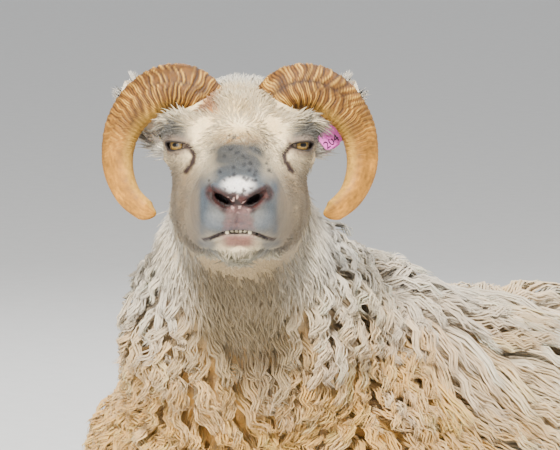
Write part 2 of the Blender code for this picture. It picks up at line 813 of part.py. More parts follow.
def roots_on(obj, rng, growing):
    """Places spread evenly over an object's surface where wool grows."""
    mesh = obj.data
    mesh.calc_loop_triangles()
    corners = np.array([[mesh.vertices[i].co for i in t.vertices] for t in mesh.loop_triangles])
    spans = np.cross(corners[:, 1] - corners[:, 0], corners[:, 2] - corners[:, 0])
    areas = np.linalg.norm(spans, axis=1)
    picks = rng.choice(len(areas), LOCK_TRIES, p=areas / areas.sum())
    shares = np.sort(rng.random((LOCK_TRIES, 2)), axis=1)
    weights = np.stack([shares[:, 0], shares[:, 1] - shares[:, 0], 1 - shares[:, 1]], axis=1)
    points = np.einsum("ij,ijk->ik", weights, corners[picks])
    points = points[growing(points, spans[picks] / areas[picks, None])]
    gaps = lock_sizes(points)[:, 0]
    kept = np.empty((0, 3))
    for point, gap in zip(points, gaps):
        if not len(kept) or np.linalg.norm(kept - point, axis=1).min() > gap:
            kept = np.vstack([kept, point])
    return kept


def lock_paths(roots, field, sizes, rng):
    """Centre lines that leave the core at their roots and follow the lie of the wool over it."""
    base = roots.copy()
    sway = rng.normal(0.0, 0.22, len(roots))
    lift = rng.normal(1.0, 0.15, len(roots))
    step = sizes[:, 1:2] / LOCK_RINGS
    paths, outs, sides = [], [], []
    for ring in range(LOCK_RINGS + 1):
        normals = slope(base, field)
        along = lie(base, normals)
        across = np.cross(along, normals)
        rise = LOCK_RISE[ring] * sizes[:, 3]
        rise = np.where(rise < 0, rise, rise * lift)
        paths.append(base + normals * rise[:, None])
        outs.append(normals)
        sides.append(across)
        swing = (sway * math.cos(2.2 * ring))[:, None]
        base = base + step * (along + swing * across)
        for _ in range(2):
            base = base - slope(base, field) * field(base)[:, None]
    return np.stack(paths, 1), np.stack(outs, 1), np.stack(sides, 1)


def lock_mesh(path, outs, sides, size):
    """A flat tapered lock with a lens-shaped section."""
    rings = []
    for ring in range(LOCK_RINGS):
        half = 0.5 * size[2] * LOCK_WIDTH[ring] * sides[ring]
        thick = 0.5 * size[3] * min(1.0, 0.5 + LOCK_WIDTH[ring]) * outs[ring]
        rings.append([path[ring] + half, path[ring] + thick, path[ring] - half, path[ring] - 0.8 * thick])
    return rings_mesh("lock", rings, tip=path[-1])


def grow_locks(core, field, growing, seed):
    """Covers a core with locks and joins them to it."""
    rng = np.random.default_rng(seed)
    roots = roots_on(core, rng, growing)
    sizes = lock_sizes(roots) * rng.uniform(0.88, 1.12, (len(roots), 1))
    paths, outs, sides = lock_paths(roots, field, sizes, rng)
    locks = bpy.data.collections.new("locks")
    for path, out, side, size in zip(paths, outs, sides, sizes):
        if path[:, 2].min() < LOCK_LOWEST:
            continue
        obj = put("lock", lock_mesh(path, out, side, size))
        bpy.context.scene.collection.objects.unlink(obj)
        locks.objects.link(obj)
    bpy.context.scene.collection.children.link(locks)
    combine(core, locks, "UNION", "MANIFOLD")
    for obj in list(locks.objects):
        remove(obj)
    bpy.data.collections.remove(locks)
    return keep_largest(core)


def behind(points, plane):
    point, normal = plane
    return (points - point) @ (normal / np.linalg.norm(normal))


def grows_on_neck(points, normals):
    below_head = behind(points, HEAD_CUT) > 0.012
    return below_head & (behind(points, NECK_CUT) < -0.010)


def grows_on_tail(points, normals):
    return points[:, 1] > 0.490


def grows_on_torso(points, normals):
    inside = behind(points, NECK_CUT) > 0.015
    return inside & (normals[:, 2] > -0.55) & (points[:, 2] > 0.075)


TAIL_LINE = ((0.000, 0.460, 0.272, 0.040), (0.004, 0.518, 0.240, 0.036), (0.010, 0.538, 0.170, 0.022))


def tail_field(points):
    (a, b, c) = TAIL_LINE
    return merge(limb(points, a[:3], b[:3], a[3], b[3]), limb(points, b[:3], c[:3], b[3], c[3]), 0.02)


# Planes that part the head, the neck and the trunk: a point on each and its direction towards the tail
HEAD_CUT = (head_point(0, -0.068, -0.060), -0.62 * AHEAD - 0.78 * UP)
NECK_CUT = (np.array([0.028, -0.235, 0.345]), np.array([-0.30, 0.48, -0.82]))


def shifted(plane, amount):
    point, normal = plane
    unit = normal / np.linalg.norm(normal)
    return point + unit * amount, unit


def build_head():
    low, high = EYE_MIDDLE - 0.20, EYE_MIDDLE + 0.20
    obj = put("head", mesh_of_field("head", sheep_field, low, high, 0.004), "face_hair")
    point, normal = shifted(HEAD_CUT, -GAP / 2)
    keep_half(obj, point, normal)
    thin_out(keep_largest(obj), 1700)
    cutters = [mouth_cutter(), nostril_cutter(1), nostril_cutter(-1)]
    for cutter in cutters:
        combine(obj, cutter, "DIFFERENCE")
        remove(cutter)
    for tooth in teeth_pieces():
        combine(obj, tooth, "UNION")
        remove(tooth)
    open_eye(obj, 1)
    open_eye(obj, -1)
    return keep_largest(obj)


def build_neck():
    low, high = np.array([-0.25, -0.50, 0.15]), np.array([0.32, 0.10, 0.70])
    obj = put("neck", mesh_of_field("neck", sheep_field, low, high, 0.008), "fleece")
    thin_out(keep_largest(obj), 700)
    point, normal = shifted(HEAD_CUT, GAP / 2)
    keep_half(obj, point, -normal)
    point, normal = shifted(NECK_CUT, -GAP / 2)
    keep_half(obj, point, normal)
    keep_largest(obj)
    grow_locks(obj, sheep_field, grows_on_neck, SEED)
    keep_half(obj, point, normal, "MANIFOLD")
    point, normal = shifted(HEAD_CUT, GAP / 2)
    keep_half(obj, point, -normal, "MANIFOLD")
    return keep_largest(obj)


def build_torso():
    low, high = np.array([-0.30, -0.45, -0.06]), np.array([0.30, 0.56, 0.52])
    obj = put("torso", mesh_of_field("torso", sheep_field, low, high, 0.010), "fleece")
    thin_out(keep_largest(obj), 1000)
    point, normal = shifted(NECK_CUT, GAP / 2)
    keep_half(obj, point, -normal)
    keep_half(obj, (0, 0, FLOOR), (0, 0, -1))
    keep_largest(obj)
    grow_locks(obj, sheep_field, grows_on_torso, SEED + 1)
    keep_half(obj, point, -normal, "MANIFOLD")
    return keep_largest(obj)


def build_tail():
    low, high = np.array([-0.08, 0.36, 0.10]), np.array([0.09, 0.58, 0.34])
    obj = put("tail", mesh_of_field("tail", tail_field, low, high, 0.008), "fleece")
    thin_out(keep_largest(obj), 200)
    return grow_locks(obj, tail_field, grows_on_tail, 6)


def main():
    clear_scene()
    head, neck, torso, tail = build_head(), build_neck(), build_torso(), build_tail()
    make_room(torso, tail)
    for side, hand in (("left", 1), ("right", -1)):
        eyeball("eye_" + side, hand)
        horned = horn("horn_" + side, hand)
        cut_clear(horned, [head])
        eared = ear("ear_" + side, hand)
        cut_clear(eared, [head, horned, neck])
        if hand == 1:
            cut_clear(eared, [ear_tag(hand)])
        for upper, lower in ((FORELEG, FORE_CANNON), (HINDLEG, HIND_CANNON)):
            room = leg_clearance(upper, lower, hand)
            combine(torso, room, "DIFFERENCE", "MANIFOLD")
            remove(room)
            keep_largest(torso)
        fore = leg("foreleg_" + side, FORELEG, FORE_CANNON, hand, 360)
        hind = leg("hindleg_" + side, HINDLEG, HIND_CANNON, hand, 360)
        for limbs, lower, label in ((fore, FORE_CANNON, "fore"), (hind, HIND_CANNON, "hind")):
            foot = hoof(f"hoof_{label}_{side}", lower, hand)
            cut_clear(foot, [limbs])
            make_room(torso, foot)


main()
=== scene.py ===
"""Fine model of a life-size horned Icelandic sheep lying on its chest with its head turned to its left.

Metres, +Z up. The trunk lies along Y with the chest towards -Y, and the sheep's left side is +X.
"""

import logging
import math
from collections.abc import Callable
from dataclasses import dataclass, field, fields
from enum import Enum
from typing import ClassVar

import bpy
import numpy as np
import openvdb
from mathutils import Matrix, Vector

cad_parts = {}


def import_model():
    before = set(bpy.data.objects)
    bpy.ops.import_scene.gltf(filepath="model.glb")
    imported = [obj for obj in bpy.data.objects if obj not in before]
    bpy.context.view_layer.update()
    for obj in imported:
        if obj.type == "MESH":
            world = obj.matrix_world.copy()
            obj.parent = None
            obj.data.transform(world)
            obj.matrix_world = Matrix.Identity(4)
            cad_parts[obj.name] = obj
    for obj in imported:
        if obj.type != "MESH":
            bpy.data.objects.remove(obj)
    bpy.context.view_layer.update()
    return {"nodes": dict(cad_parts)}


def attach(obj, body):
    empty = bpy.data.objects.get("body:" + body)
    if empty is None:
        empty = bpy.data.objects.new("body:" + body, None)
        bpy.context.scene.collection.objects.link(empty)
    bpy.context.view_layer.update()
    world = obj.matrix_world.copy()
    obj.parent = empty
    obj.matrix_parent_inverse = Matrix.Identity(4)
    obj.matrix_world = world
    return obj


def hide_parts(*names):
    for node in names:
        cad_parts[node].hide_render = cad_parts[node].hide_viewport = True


LOG = logging.getLogger("sheep")
Array = np.ndarray
Field = Callable[[Array], Array]
Material = bpy.types.Material
Pair = tuple[Array, Array]
Piece = bpy.types.Object
Random = np.random.Generator
Socket = bpy.types.NodeSocket

# The range of a random angle, and how the face's plane leans back and up.
ANY_ANGLE = (0.0, 6.28)
FACE_PLANE = (0.39, 0.92)


def paint(red: float, green: float, blue: float) -> Array:
    """Turns a colour of 0 to 255 as seen on a screen into linear light."""
    seen = np.array([red, green, blue], float) / 255.0
    return np.where(seen <= 0.04045, seen / 12.92, ((seen + 0.055) / 1.055) ** 2.4)


def blend(under: Array, colour: tuple, share: Array) -> Array:
    """Mixes a screen colour over linear ones."""
    return under * (1 - share) + paint(*colour) * share


def ramp(value: Array, low: float, high: float) -> Array:
    """Eases from 0 at low to 1 at high."""
    share = np.clip((value - low) / (high - low), 0.0, 1.0)
    return share * share * (3 - 2 * share)


def bump(value: Array, middle: float, reach: float) -> Array:
    """Gives 1 at the middle, falling softly to 0 at this reach from it."""
    return 1.0 - ramp(np.abs(value - middle), 0.35 * reach, reach)


def unit(vectors: Array) -> Array:
    """Scales vectors to a length of one."""
    return vectors / np.maximum(np.linalg.norm(vectors, axis=-1, keepdims=True), 1e-9)


def square_to(ways: Array, normals: Array) -> Array:
    """Unit vectors of these ways with what runs along the normals taken out."""
    return unit(ways - normals * np.sum(ways * normals, axis=-1, keepdims=True))


def cloud(points: Array, size: float, seed: int) -> Array:
    """Smooth random values over space.

    Args:
        points: Where to read them.
        size: Rough size of a patch.
        seed: Picks the pattern.

    Returns:
        Values between about -1 and 1.
    """
    rng = np.random.default_rng(seed)
    total = np.zeros(points.shape[:-1])
    for _ in range(7):
        way = rng.normal(size=3)
        way *= rng.uniform(3.2, 6.4) / (np.linalg.norm(way) * size)
        total += np.sin(points @ way + rng.uniform(*ANY_ANGLE))
    return np.clip(total / 3.4, -1, 1)


def ellipsoid(points: Array, centre: tuple, radii: tuple) -> Array:
    """Rough distance to an ellipsoid, below zero inside.

    Args:
        points: Where to measure.
        centre: Its middle.
        radii: Its three radii.

    Returns:
        One distance a point.
    """
    scaled = (points - np.array(centre)) / np.array(radii)
    reach = np.linalg.norm(scaled, axis=-1)
    steep = np.linalg.norm(scaled / np.array(radii), axis=-1)
    return reach * (reach - 1.0) / np.maximum(steep, 1e-6)


def limb(points: Array, start: tuple, end: tuple, first: float, last: float) -> Array:
    """Distance to a rounded stick whose radius runs from first to last.

    Args:
        points: Where to measure.
        start: One end of its middle line.
        end: The other end.
        first: Radius at the start.
        last: Radius at the end.

    Returns:
        One distance a point.
    """
    begin = np.array(start)
    along = np.array(end) - begin
    share = np.clip((points - begin) @ along / (along @ along), 0.0, 1.0)
    near = points - begin - share[..., None] * along
    return np.linalg.norm(near, axis=-1) - (first + share * (last - first))


def merge(first: Array, second: Array, softness: float) -> Array:
    """Joins two distances with a soft crease."""
    share = np.clip(0.5 + 0.5 * (second - first) / softness, 0.0, 1.0)
    return second * (1 - share) + first * share - softness * share * (1 - share)


def carve(body: Array, hole: Array, softness: float) -> Array:
    """Takes a hole out of a body with a soft edge."""
    return -merge(-body, hole, softness)


def mirrored(points: Array) -> Array:
    """Folds points onto the side where the first coordinate is positive."""
    return np.concatenate([np.abs(points[..., :1]), points[..., 1:]], axis=-1)


@dataclass(frozen=True)
class HeadAxes:
    """Place and attitude of the head: the point between the eyes, its turn and the slope of the nose."""

    middle: tuple = (0.16, -0.36, 0.61)
    turn: float = math.radians(42)
    nose_down: float = math.radians(17)

    @property
    def side(self) -> Array:
        """Towards the sheep's left."""
        return np.array([math.cos(self.turn), math.sin(self.turn), 0.0])

    @property
    def level(self) -> Array:
        """The way the sheep looks, level."""
        return np.array([math.sin(self.turn), -math.cos(self.turn), 0.0])

    @property
    def ahead(self) -> Array:
        """Along the nose."""
        return self.level * math.cos(self.nose_down) - np.array([0, 0, math.sin(self.nose_down)])

    @property
    def up(self) -> Array:
        """Square to the nose, towards the forehead."""
        return np.array([0, 0, math.cos(self.nose_down)]) + self.level * math.sin(self.nose_down)

    def local(self, points: Array) -> Array:
        """Points in the head's own axes: to the side, ahead and up."""
        return (points - np.array(self.middle)) @ np.stack([self.side, self.ahead, self.up]).T

    def world(self, local: Array) -> Array:
        """Points of the head's own axes in the model's frame."""
        return np.array(self.middle) + np.asarray(local) @ np.stack([self.side, self.ahead, self.up])

    def beside(self, spots: Array) -> Array:
        """Points given to the side, back and up along level axes, in the model's frame."""
        spots = np.asarray(spots, float)
        flip = np.array([1, -1, 1])
        return np.array(self.middle) + (spots * flip) @ np.stack([self.side, self.level, [0, 0, 1]])


HEAD = HeadAxes()


@dataclass(frozen=True)
class Eye:
    """Sizes of an eye: its middle in the head's axes, its radius, its gaze and its opening."""

    place: tuple = (0.056, 0.006, 0.004)
    radius: float = 0.014
    gaze: tuple = (0.57, 0.77, 0.28)
    half_width: float = 0.0128
    upper: float = 0.0025
    lower: float = 0.0046
    tilt: float = math.radians(12)
    roundness: float = 2.2
    slant: float = 0.0006

    def axes(self) -> Array:
        """Across, over and out of the left eye, in the head's axes."""
        out = unit(np.array(self.gaze))
        across = unit(np.cross([0.0, 0.0, 1.0], out))
        over = np.cross(out, across)
        turn = self.tilt
        return np.stack(
            [
                across * math.cos(turn) + over * math.sin(turn),
                over * math.cos(turn) - across * math.sin(turn),
                out,
            ]
        )

    def local(self, folded: Array) -> Array:
        """Points of the folded head in the eye's axes."""
        return (folded - np.array(self.place)) @ self.axes().T

    def edges(self, run: Array) -> Pair:
        """Heights of the upper and the lower lid's edge.

        Args:
            run: Shares of the half width, below zero towards the nose.

        Returns:
            The upper and the lower edge.
        """
        bow = np.sqrt(np.clip(1 - np.abs(run) ** self.roundness, 0, 1))
        high = self.upper * bow - self.slant * run
        return high, -self.lower * bow * (1 - 0.45 * run) - self.slant * run

    def gap(self, folded: Array) -> Array:
        """Distance to the edge of the almond between the lids, below zero inside it.

        Args:
            folded: Points in the folded head's axes.

        Returns:
            One distance a point, measured across the gaze.
        """
        spot = self.local(folded)
        high, low = self.edges(spot[..., 0] / self.half_width)
        level = np.maximum(spot[..., 1] - high, low - spot[..., 1])
        return np.maximum(level * 0.85, np.abs(spot[..., 0]) - self.half_width)


EYE = Eye()


@dataclass(frozen=True)
class SheepForm:
    """Distance fields of the sheep's body, out to its skin or to the core of its fleece."""

    withers: float = 0.412
    loin: float = 0.36
    rump: float = 0.348
    chest: float = 0.148
    belly: float = 0.172
    front: float = -0.292
    back: float = 0.47
    fleece_trunk: float = 0.045
    fleece_neck: float = 0.034
    foreleg: tuple = (
        (0.128, -0.18, 0.105, 0.046),
        (0.122, -0.26, 0.078, 0.036),
        (0.112, -0.352, 0.047, 0.0275),
    )
    fore_cannon: tuple = (
        (0.112, -0.352, 0.036, 0.0225),
        (0.122, -0.285, 0.026, 0.018),
        (0.134, -0.222, 0.024, 0.0185),
    )
    hindleg: tuple = (
        (0.168, 0.17, 0.125, 0.055),
        (0.184, 0.285, 0.088, 0.042),
        (0.19, 0.398, 0.052, 0.026),
    )
    hind_cannon: tuple = (
        (0.19, 0.398, 0.038, 0.0235),
        (0.214, 0.325, 0.026, 0.018),
        (0.23, 0.262, 0.024, 0.019),
    )
    tail_line: tuple = (
        (0.0, 0.46, 0.272, 0.04),
        (0.004, 0.518, 0.24, 0.036),
        (0.01, 0.538, 0.17, 0.022),
    )

    def head(self, local: Array) -> Array:
        """Skull, cheeks, muzzle and jaw in the head's own axes.

        Args:
            local: Points in the head's axes.

        Returns:
            One distance a point.
        """
        spot = mirrored(local)
        body = ellipsoid(spot, (0, -0.034, -0.002), (0.056, 0.068, 0.046))
        body = merge(body, ellipsoid(spot, (0, -0.07, -0.002), (0.05, 0.042, 0.038)), 0.03)
        body = merge(body, limb(spot, (0, -0.01, 0.004), (0, 0.108, -0.006), 0.036, 0.029), 0.025)
        body = merge(body, ellipsoid(spot, (0.05, -0.008, 0.004), (0.0265, 0.027, 0.024)), 0.014)
        body = merge(body, ellipsoid(spot, (0.036, 0.01, -0.046), (0.031, 0.072, 0.05)), 0.03)
        jaw = limb(spot, (0.032, -0.025, -0.08), (0.014, 0.09, -0.055), 0.031, 0.02)
        body = merge(body, jaw, 0.03)
        body = merge(body, ellipsoid(spot, (0.018, 0.11, -0.022), (0.0225, 0.033, 0.025)), 0.034)
        body = merge(body, ellipsoid(spot, (0.01, 0.122, -0.004), (0.021, 0.024, 0.018)), 0.014)
        return merge(body, ellipsoid(spot, (0.0, 0.103, -0.056), (0.029, 0.033, 0.019)), 0.008)

    def neck(self, points: Array) -> Array:
        """The neck from the chest to the skull."""
        crown = tuple(HEAD.world((0, -0.045, -0.03)))
        low = limb(points, (0.0, -0.15, 0.25), (0.062, -0.24, 0.4), 0.112, 0.078)
        high = limb(points, (0.062, -0.24, 0.4), (0.11, -0.3, 0.5), 0.078, 0.062)
        top = limb(points, (0.11, -0.3, 0.5), crown, 0.062, 0.057)
        nape = limb(points, (0.01, -0.06, 0.325), (0.075, -0.23, 0.448), 0.082, 0.052)
        return merge(merge(merge(low, high, 0.03), top, 0.03), nape, 0.04)

    def trunk(self, points: Array) -> Array:
        """The trunk without legs, alike on both sides.

        Args:
            points: Points of the model's frame.

        Returns:
            One distance a point.
        """
        spot = mirrored(points)
        middle = self.withers * 0.46
        body = ellipsoid(spot, (0, -0.035, middle), (self.chest, 0.245, middle + 0.008))
        for centre, radii in (
            ((0, self.front + 0.085, 0.15), (0.098, 0.085, 0.125)),
            ((0.06, -0.035, self.withers - 0.112), (0.062, 0.11, 0.112)),
            ((0.11, -0.148, 0.165), (0.068, 0.085, 0.132)),
            ((0, 0.11, 0.168), (self.belly, 0.25, 0.178)),
            ((0, 0.17, self.loin - 0.11), (0.12, 0.26, 0.11)),
            ((0, self.back - 0.14, self.rump - 0.145), (0.14, 0.14, 0.145)),
            ((0.122, 0.27, 0.14), (0.07, 0.14, 0.135)),
        ):
            body = merge(body, ellipsoid(spot, centre, radii), 0.05)
        return body

    def coat_share(self, points: Array) -> Array:
        """How much of the fleece grows at these points: none on the head, all on the trunk."""
        along = (points - np.array(HEAD.middle)) @ -HEAD.ahead
        drop = (HEAD.middle[2] - points[..., 2]) + 0.6 * along
        return ramp(drop, 0.055, 0.22)

    def coat_depth(self, points: Array) -> Array:
        """Depth of the fleece over the skin at these points."""
        share = self.coat_share(points)
        deep = (self.fleece_trunk - self.fleece_neck) * ramp(share, 0.4, 1.0)
        return self.fleece_neck * ramp(share, 0.0, 0.5) + deep

    def fleeced(self, points: Array, core: float) -> Array:
        """Neck and trunk out to this share of the fleece's depth."""
        body = merge(self.trunk(points), self.neck(points), 0.06)
        return body - core * self.coat_depth(points)

    def whole(self, points: Array, core: float) -> Array:
        """Neck, trunk and head out to this share of the fleece's depth."""
        return merge(self.fleeced(points, core), self.head(HEAD.local(points)), 0.02)

    def part(self, points: Array, start: tuple, end: tuple) -> Array:
        """A rounded stick between two rows of a place and a radius."""
        return limb(points, start[:3], end[:3], start[3], end[3])

    def leg(self, points: Array, upper: tuple, lower: tuple) -> Array:
        """One folded leg of the left side, from points folded onto that side."""
        (a, b, c), (d, e, f) = upper, lower
        body = merge(self.part(points, a, b), self.part(points, b, c), 0.02)
        body = merge(body, self.part(points, d, e), 0.006)
        return merge(body, self.part(points, e, f), 0.01)

    def legs(self, points: Array) -> Array:
        """All four legs."""
        spot = mirrored(points)
        fore = self.leg(spot, self.foreleg, self.fore_cannon)
        return np.minimum(fore, self.leg(spot, self.hindleg, self.hind_cannon))

    def tail(self, points: Array) -> Array:
        """The hanging tail."""
        a, b, c = self.tail_line
        return merge(self.part(points, a, b), self.part(points, b, c), 0.02)


FORM = SheepForm()


def slope(points: Array, shape: Field, step: float = 0.0012) -> Array:
    """The outward direction of a field."""
    parts = [shape(points + step * axis) - shape(points - step * axis) for axis in np.eye(3)]
    return unit(np.stack(parts, axis=-1))


def on_skin(start: Array, direction: Array, shape: Field) -> Array:
    """The points where rays from inside a body leave it.

    Args:
        start: Points inside.
        direction: The way each ray goes.
        shape: The distance field.

    Returns:
        One point a ray.
    """
    way = unit(np.asarray(direction, float))
    near, far = np.zeros(len(start)), np.full(len(start), 0.15)
    for _ in range(22):
        middle = (near + far) / 2
        inside = shape(start + middle[:, None] * way) < 0
        near, far = np.where(inside, middle, near), np.where(inside, far, middle)
    return start + near[:, None] * way


@dataclass
class FaceForm:
    """Fine forms of the face over the plain head: lids, nostrils, lips and grooves."""

    lid: float = 0.003
    view: tuple = (
        (1.0, 0.0, 0.0),
        (0.0, -FACE_PLANE[0], FACE_PLANE[1]),
        (0.0, FACE_PLANE[1], FACE_PLANE[0]),
    )
    mouth: tuple = (
        (0.0, -0.085), (0.005, -0.0852), (0.01, -0.0857), (0.014, -0.0866), (0.018, -0.0878),
        (0.022, -0.0892), (0.026, -0.0908), (0.03, -0.0922), (0.033, -0.093), (0.0355, -0.093),
    )
    nostril: tuple = (
        (0.0065, -0.06, 0.0032),
        (0.0115, -0.058, 0.0052),
        (0.0175, -0.054, 0.0056),
        (0.023, -0.05, 0.0038),
    )
    tear: tuple = ((0.0505, -0.001), (0.044, -0.008), (0.046, -0.0165), (0.0525, -0.026))
    tear_width: tuple = (0.0018, 0.0024, 0.0022, 0.0012)
    cleft: tuple = ((0.0, -0.06), (0.0, -0.068), (0.0, -0.076), (0.0, -0.082))
    mouth_line: Array = field(init=False)
    nostril_line: Array = field(init=False)
    tear_line: Array = field(init=False)
    cleft_line: Array = field(init=False)
    upper_lid: Array = field(init=False)
    lower_lid: Array = field(init=False)

    def __post_init__(self) -> None:
        """Lays the lines of the mouth, nostrils and tear grooves on the plain head."""
        self.mouth_line = self.mark(np.array(self.mouth))
        self.nostril_line = self.mark(np.array(self.nostril)[:, :2])
        self.tear_line = self.mark(np.array(self.tear))
        self.cleft_line = self.mark(np.array(self.cleft))
        bend = np.linspace(-1, 1, 9)
        high, low = EYE.edges(bend)
        self.upper_lid = self.on_ball(EYE.half_width * bend, high + 0.0018)
        self.lower_lid = self.on_ball(EYE.half_width * bend, low - 0.0014)

    def mark(self, spots: Array) -> Array:
        """The points of the plain head's surface seen at these places of the face.

        Args:
            spots: Rows of a place to the side and a height on the face.

        Returns:
            Points in the head's axes.
        """
        side, high, towards = np.array(self.view)
        starts = spots[:, :1] * side + spots[:, 1:] * high
        return on_skin(starts, np.tile(towards, (len(spots), 1)), FORM.head)

    def on_ball(self, across: Array, over: Array) -> Array:
        """Points over the eyeball at these places across the gaze."""
        ball = EYE.radius + self.lid
        out = np.sqrt(np.clip(ball**2 - across**2 - over**2, 0, None))
        return np.array(EYE.place) + np.stack([across, over, out], 1) @ EYE.axes()

    def string(self, spot: Array, line: Array, radii: Array | tuple) -> Array:
        """Distance to a bent stick through the points of a line."""
        body = np.full(spot.shape[:-1], 1.0)
        for i in range(len(line) - 1):
            body = np.minimum(body, limb(spot, line[i], line[i + 1], radii[i], radii[i + 1]))
        return body

    def fine(self, local: Array, plain: Array) -> Array:
        """Adds the face's forms to the plain head's distances.

        Args:
            local: Points in the head's axes, near its surface.
            plain: The plain head's distances there.

        Returns:
            The finished distances.
        """
        spot = mirrored(local)
        brow = limb(spot, (0.034, 0.006, 0.0225), (0.07, -0.012, 0.0165), 0.0075, 0.0085)
        body = merge(plain, brow, 0.012)
        under = limb(spot, (0.046, 0.016, -0.0155), (0.07, -0.004, -0.015), 0.005, 0.0055)
        body = merge(body, under, 0.01)
        body = merge(body, limb(spot, (0.04, -0.046, 0.018), (0.066, -0.052, -0.002), 0.019, 0.013), 0.012)
        socket = np.linalg.norm(EYE.local(spot), axis=-1)
        body = merge(body, socket - (EYE.radius + self.lid), 0.0035)
        outward = EYE.local(spot)[..., 2]
        body = merge(body, self.string(spot, self.upper_lid, np.full(9, 0.0022)), 0.002)
        body = merge(body, self.string(spot, self.lower_lid, np.full(9, 0.0014)), 0.002)
        opening = np.where(outward > 0, EYE.gap(spot), 1.0)
        body = carve(body, opening, 0.0008)
        body = carve(body, self.string(spot, self.tear_line, self.tear_width), 0.004)
        rim = self.nostril_line + np.array([0.001, -0.0034, 0.0088])
        body = merge(body, self.string(spot, rim, np.array([0.0028, 0.0036, 0.0038, 0.0032])), 0.006)
        wing = self.nostril_line[1:] + np.array([0.003, -0.0036, -0.0062])
        body = merge(body, self.string(spot, wing, np.array([0.003, 0.0034, 0.0032])), 0.005)
        inner = self.nostril_line - np.array([0.0, 0.0012, 0.0004])
        radii = np.array(self.nostril)[:, 2]
        hole = self.string(spot, inner, radii)
        deep = self.string(spot, inner - np.array([0.001, 0.01, 0.001]), radii * 0.9)
        body = carve(body, np.minimum(hole, deep), 0.002)
        body = carve(body, self.string(spot, self.cleft_line, np.full(4, 0.001)), 0.0035)
        lip = self.mouth_line + np.array([0, -0.0026, 0.0048])
        body = merge(body, self.string(spot, lip, np.linspace(0.0042, 0.002, len(lip))), 0.006)
        pout = self.mouth_line + np.array([0, -0.004, -0.0058])
        body = merge(body, self.string(spot, pout[:-3], np.linspace(0.0052, 0.0018, len(pout) - 3)), 0.006)
        radii = np.interp(np.arange(len(self.mouth_line)), [0, 3, 9], [0.0026, 0.0019, 0.0005])
        deep = self.mouth_line * np.array([0.92, 1, 1]) - np.array([0, 0.0045, 0])
        slit = np.minimum(self.string(spot, self.mouth_line, radii), self.string(spot, deep, radii * 1.1))
        return carve(body, slit, 0.0016)

    def head(self, local: Array, hair: float = 0.0) -> Array:
        """The finished head, less the depth of its short hair.

        Args:
            local: Points in the head's axes.
            hair: Depth to keep back.

        Returns:
            One distance a point.
        """
        shape = local.shape[:-1]
        flat = local.reshape(-1, 3)
        plain = FORM.head(flat)
        near = np.abs(plain) < 0.02
        plain[near] = self.fine(flat[near], plain[near])
        away = np.linalg.norm(EYE.local(mirrored(flat)), axis=-1)
        plain += hair * ramp(away, 0.018, 0.026) * (1 - ramp(flat[:, 1], 0.06, 0.09))
        return plain.reshape(shape)


FACE = FaceForm()


def face_height(local: Array) -> Array:
    """Height on the face as seen square to its front plane."""
    return -FACE_PLANE[0] * local[..., 1] + FACE_PLANE[1] * local[..., 2]


def track(spot: Array, knots: tuple) -> Array:
    """Distance on a plane to a bent line through knots.

    Args:
        spot: Points of two coordinates.
        knots: The line's points.

    Returns:
        One distance a point.
    """
    best = np.full(len(spot), 9.0)
    for a, b in zip(knots[:-1], knots[1:]):
        a, b = np.array(a), np.array(b)
        share = np.clip((spot - a) @ (b - a) / ((b - a) @ (b - a)), 0, 1)
        best = np.minimum(best, np.linalg.norm(spot - a - share[:, None] * (b - a), axis=1))
    return best


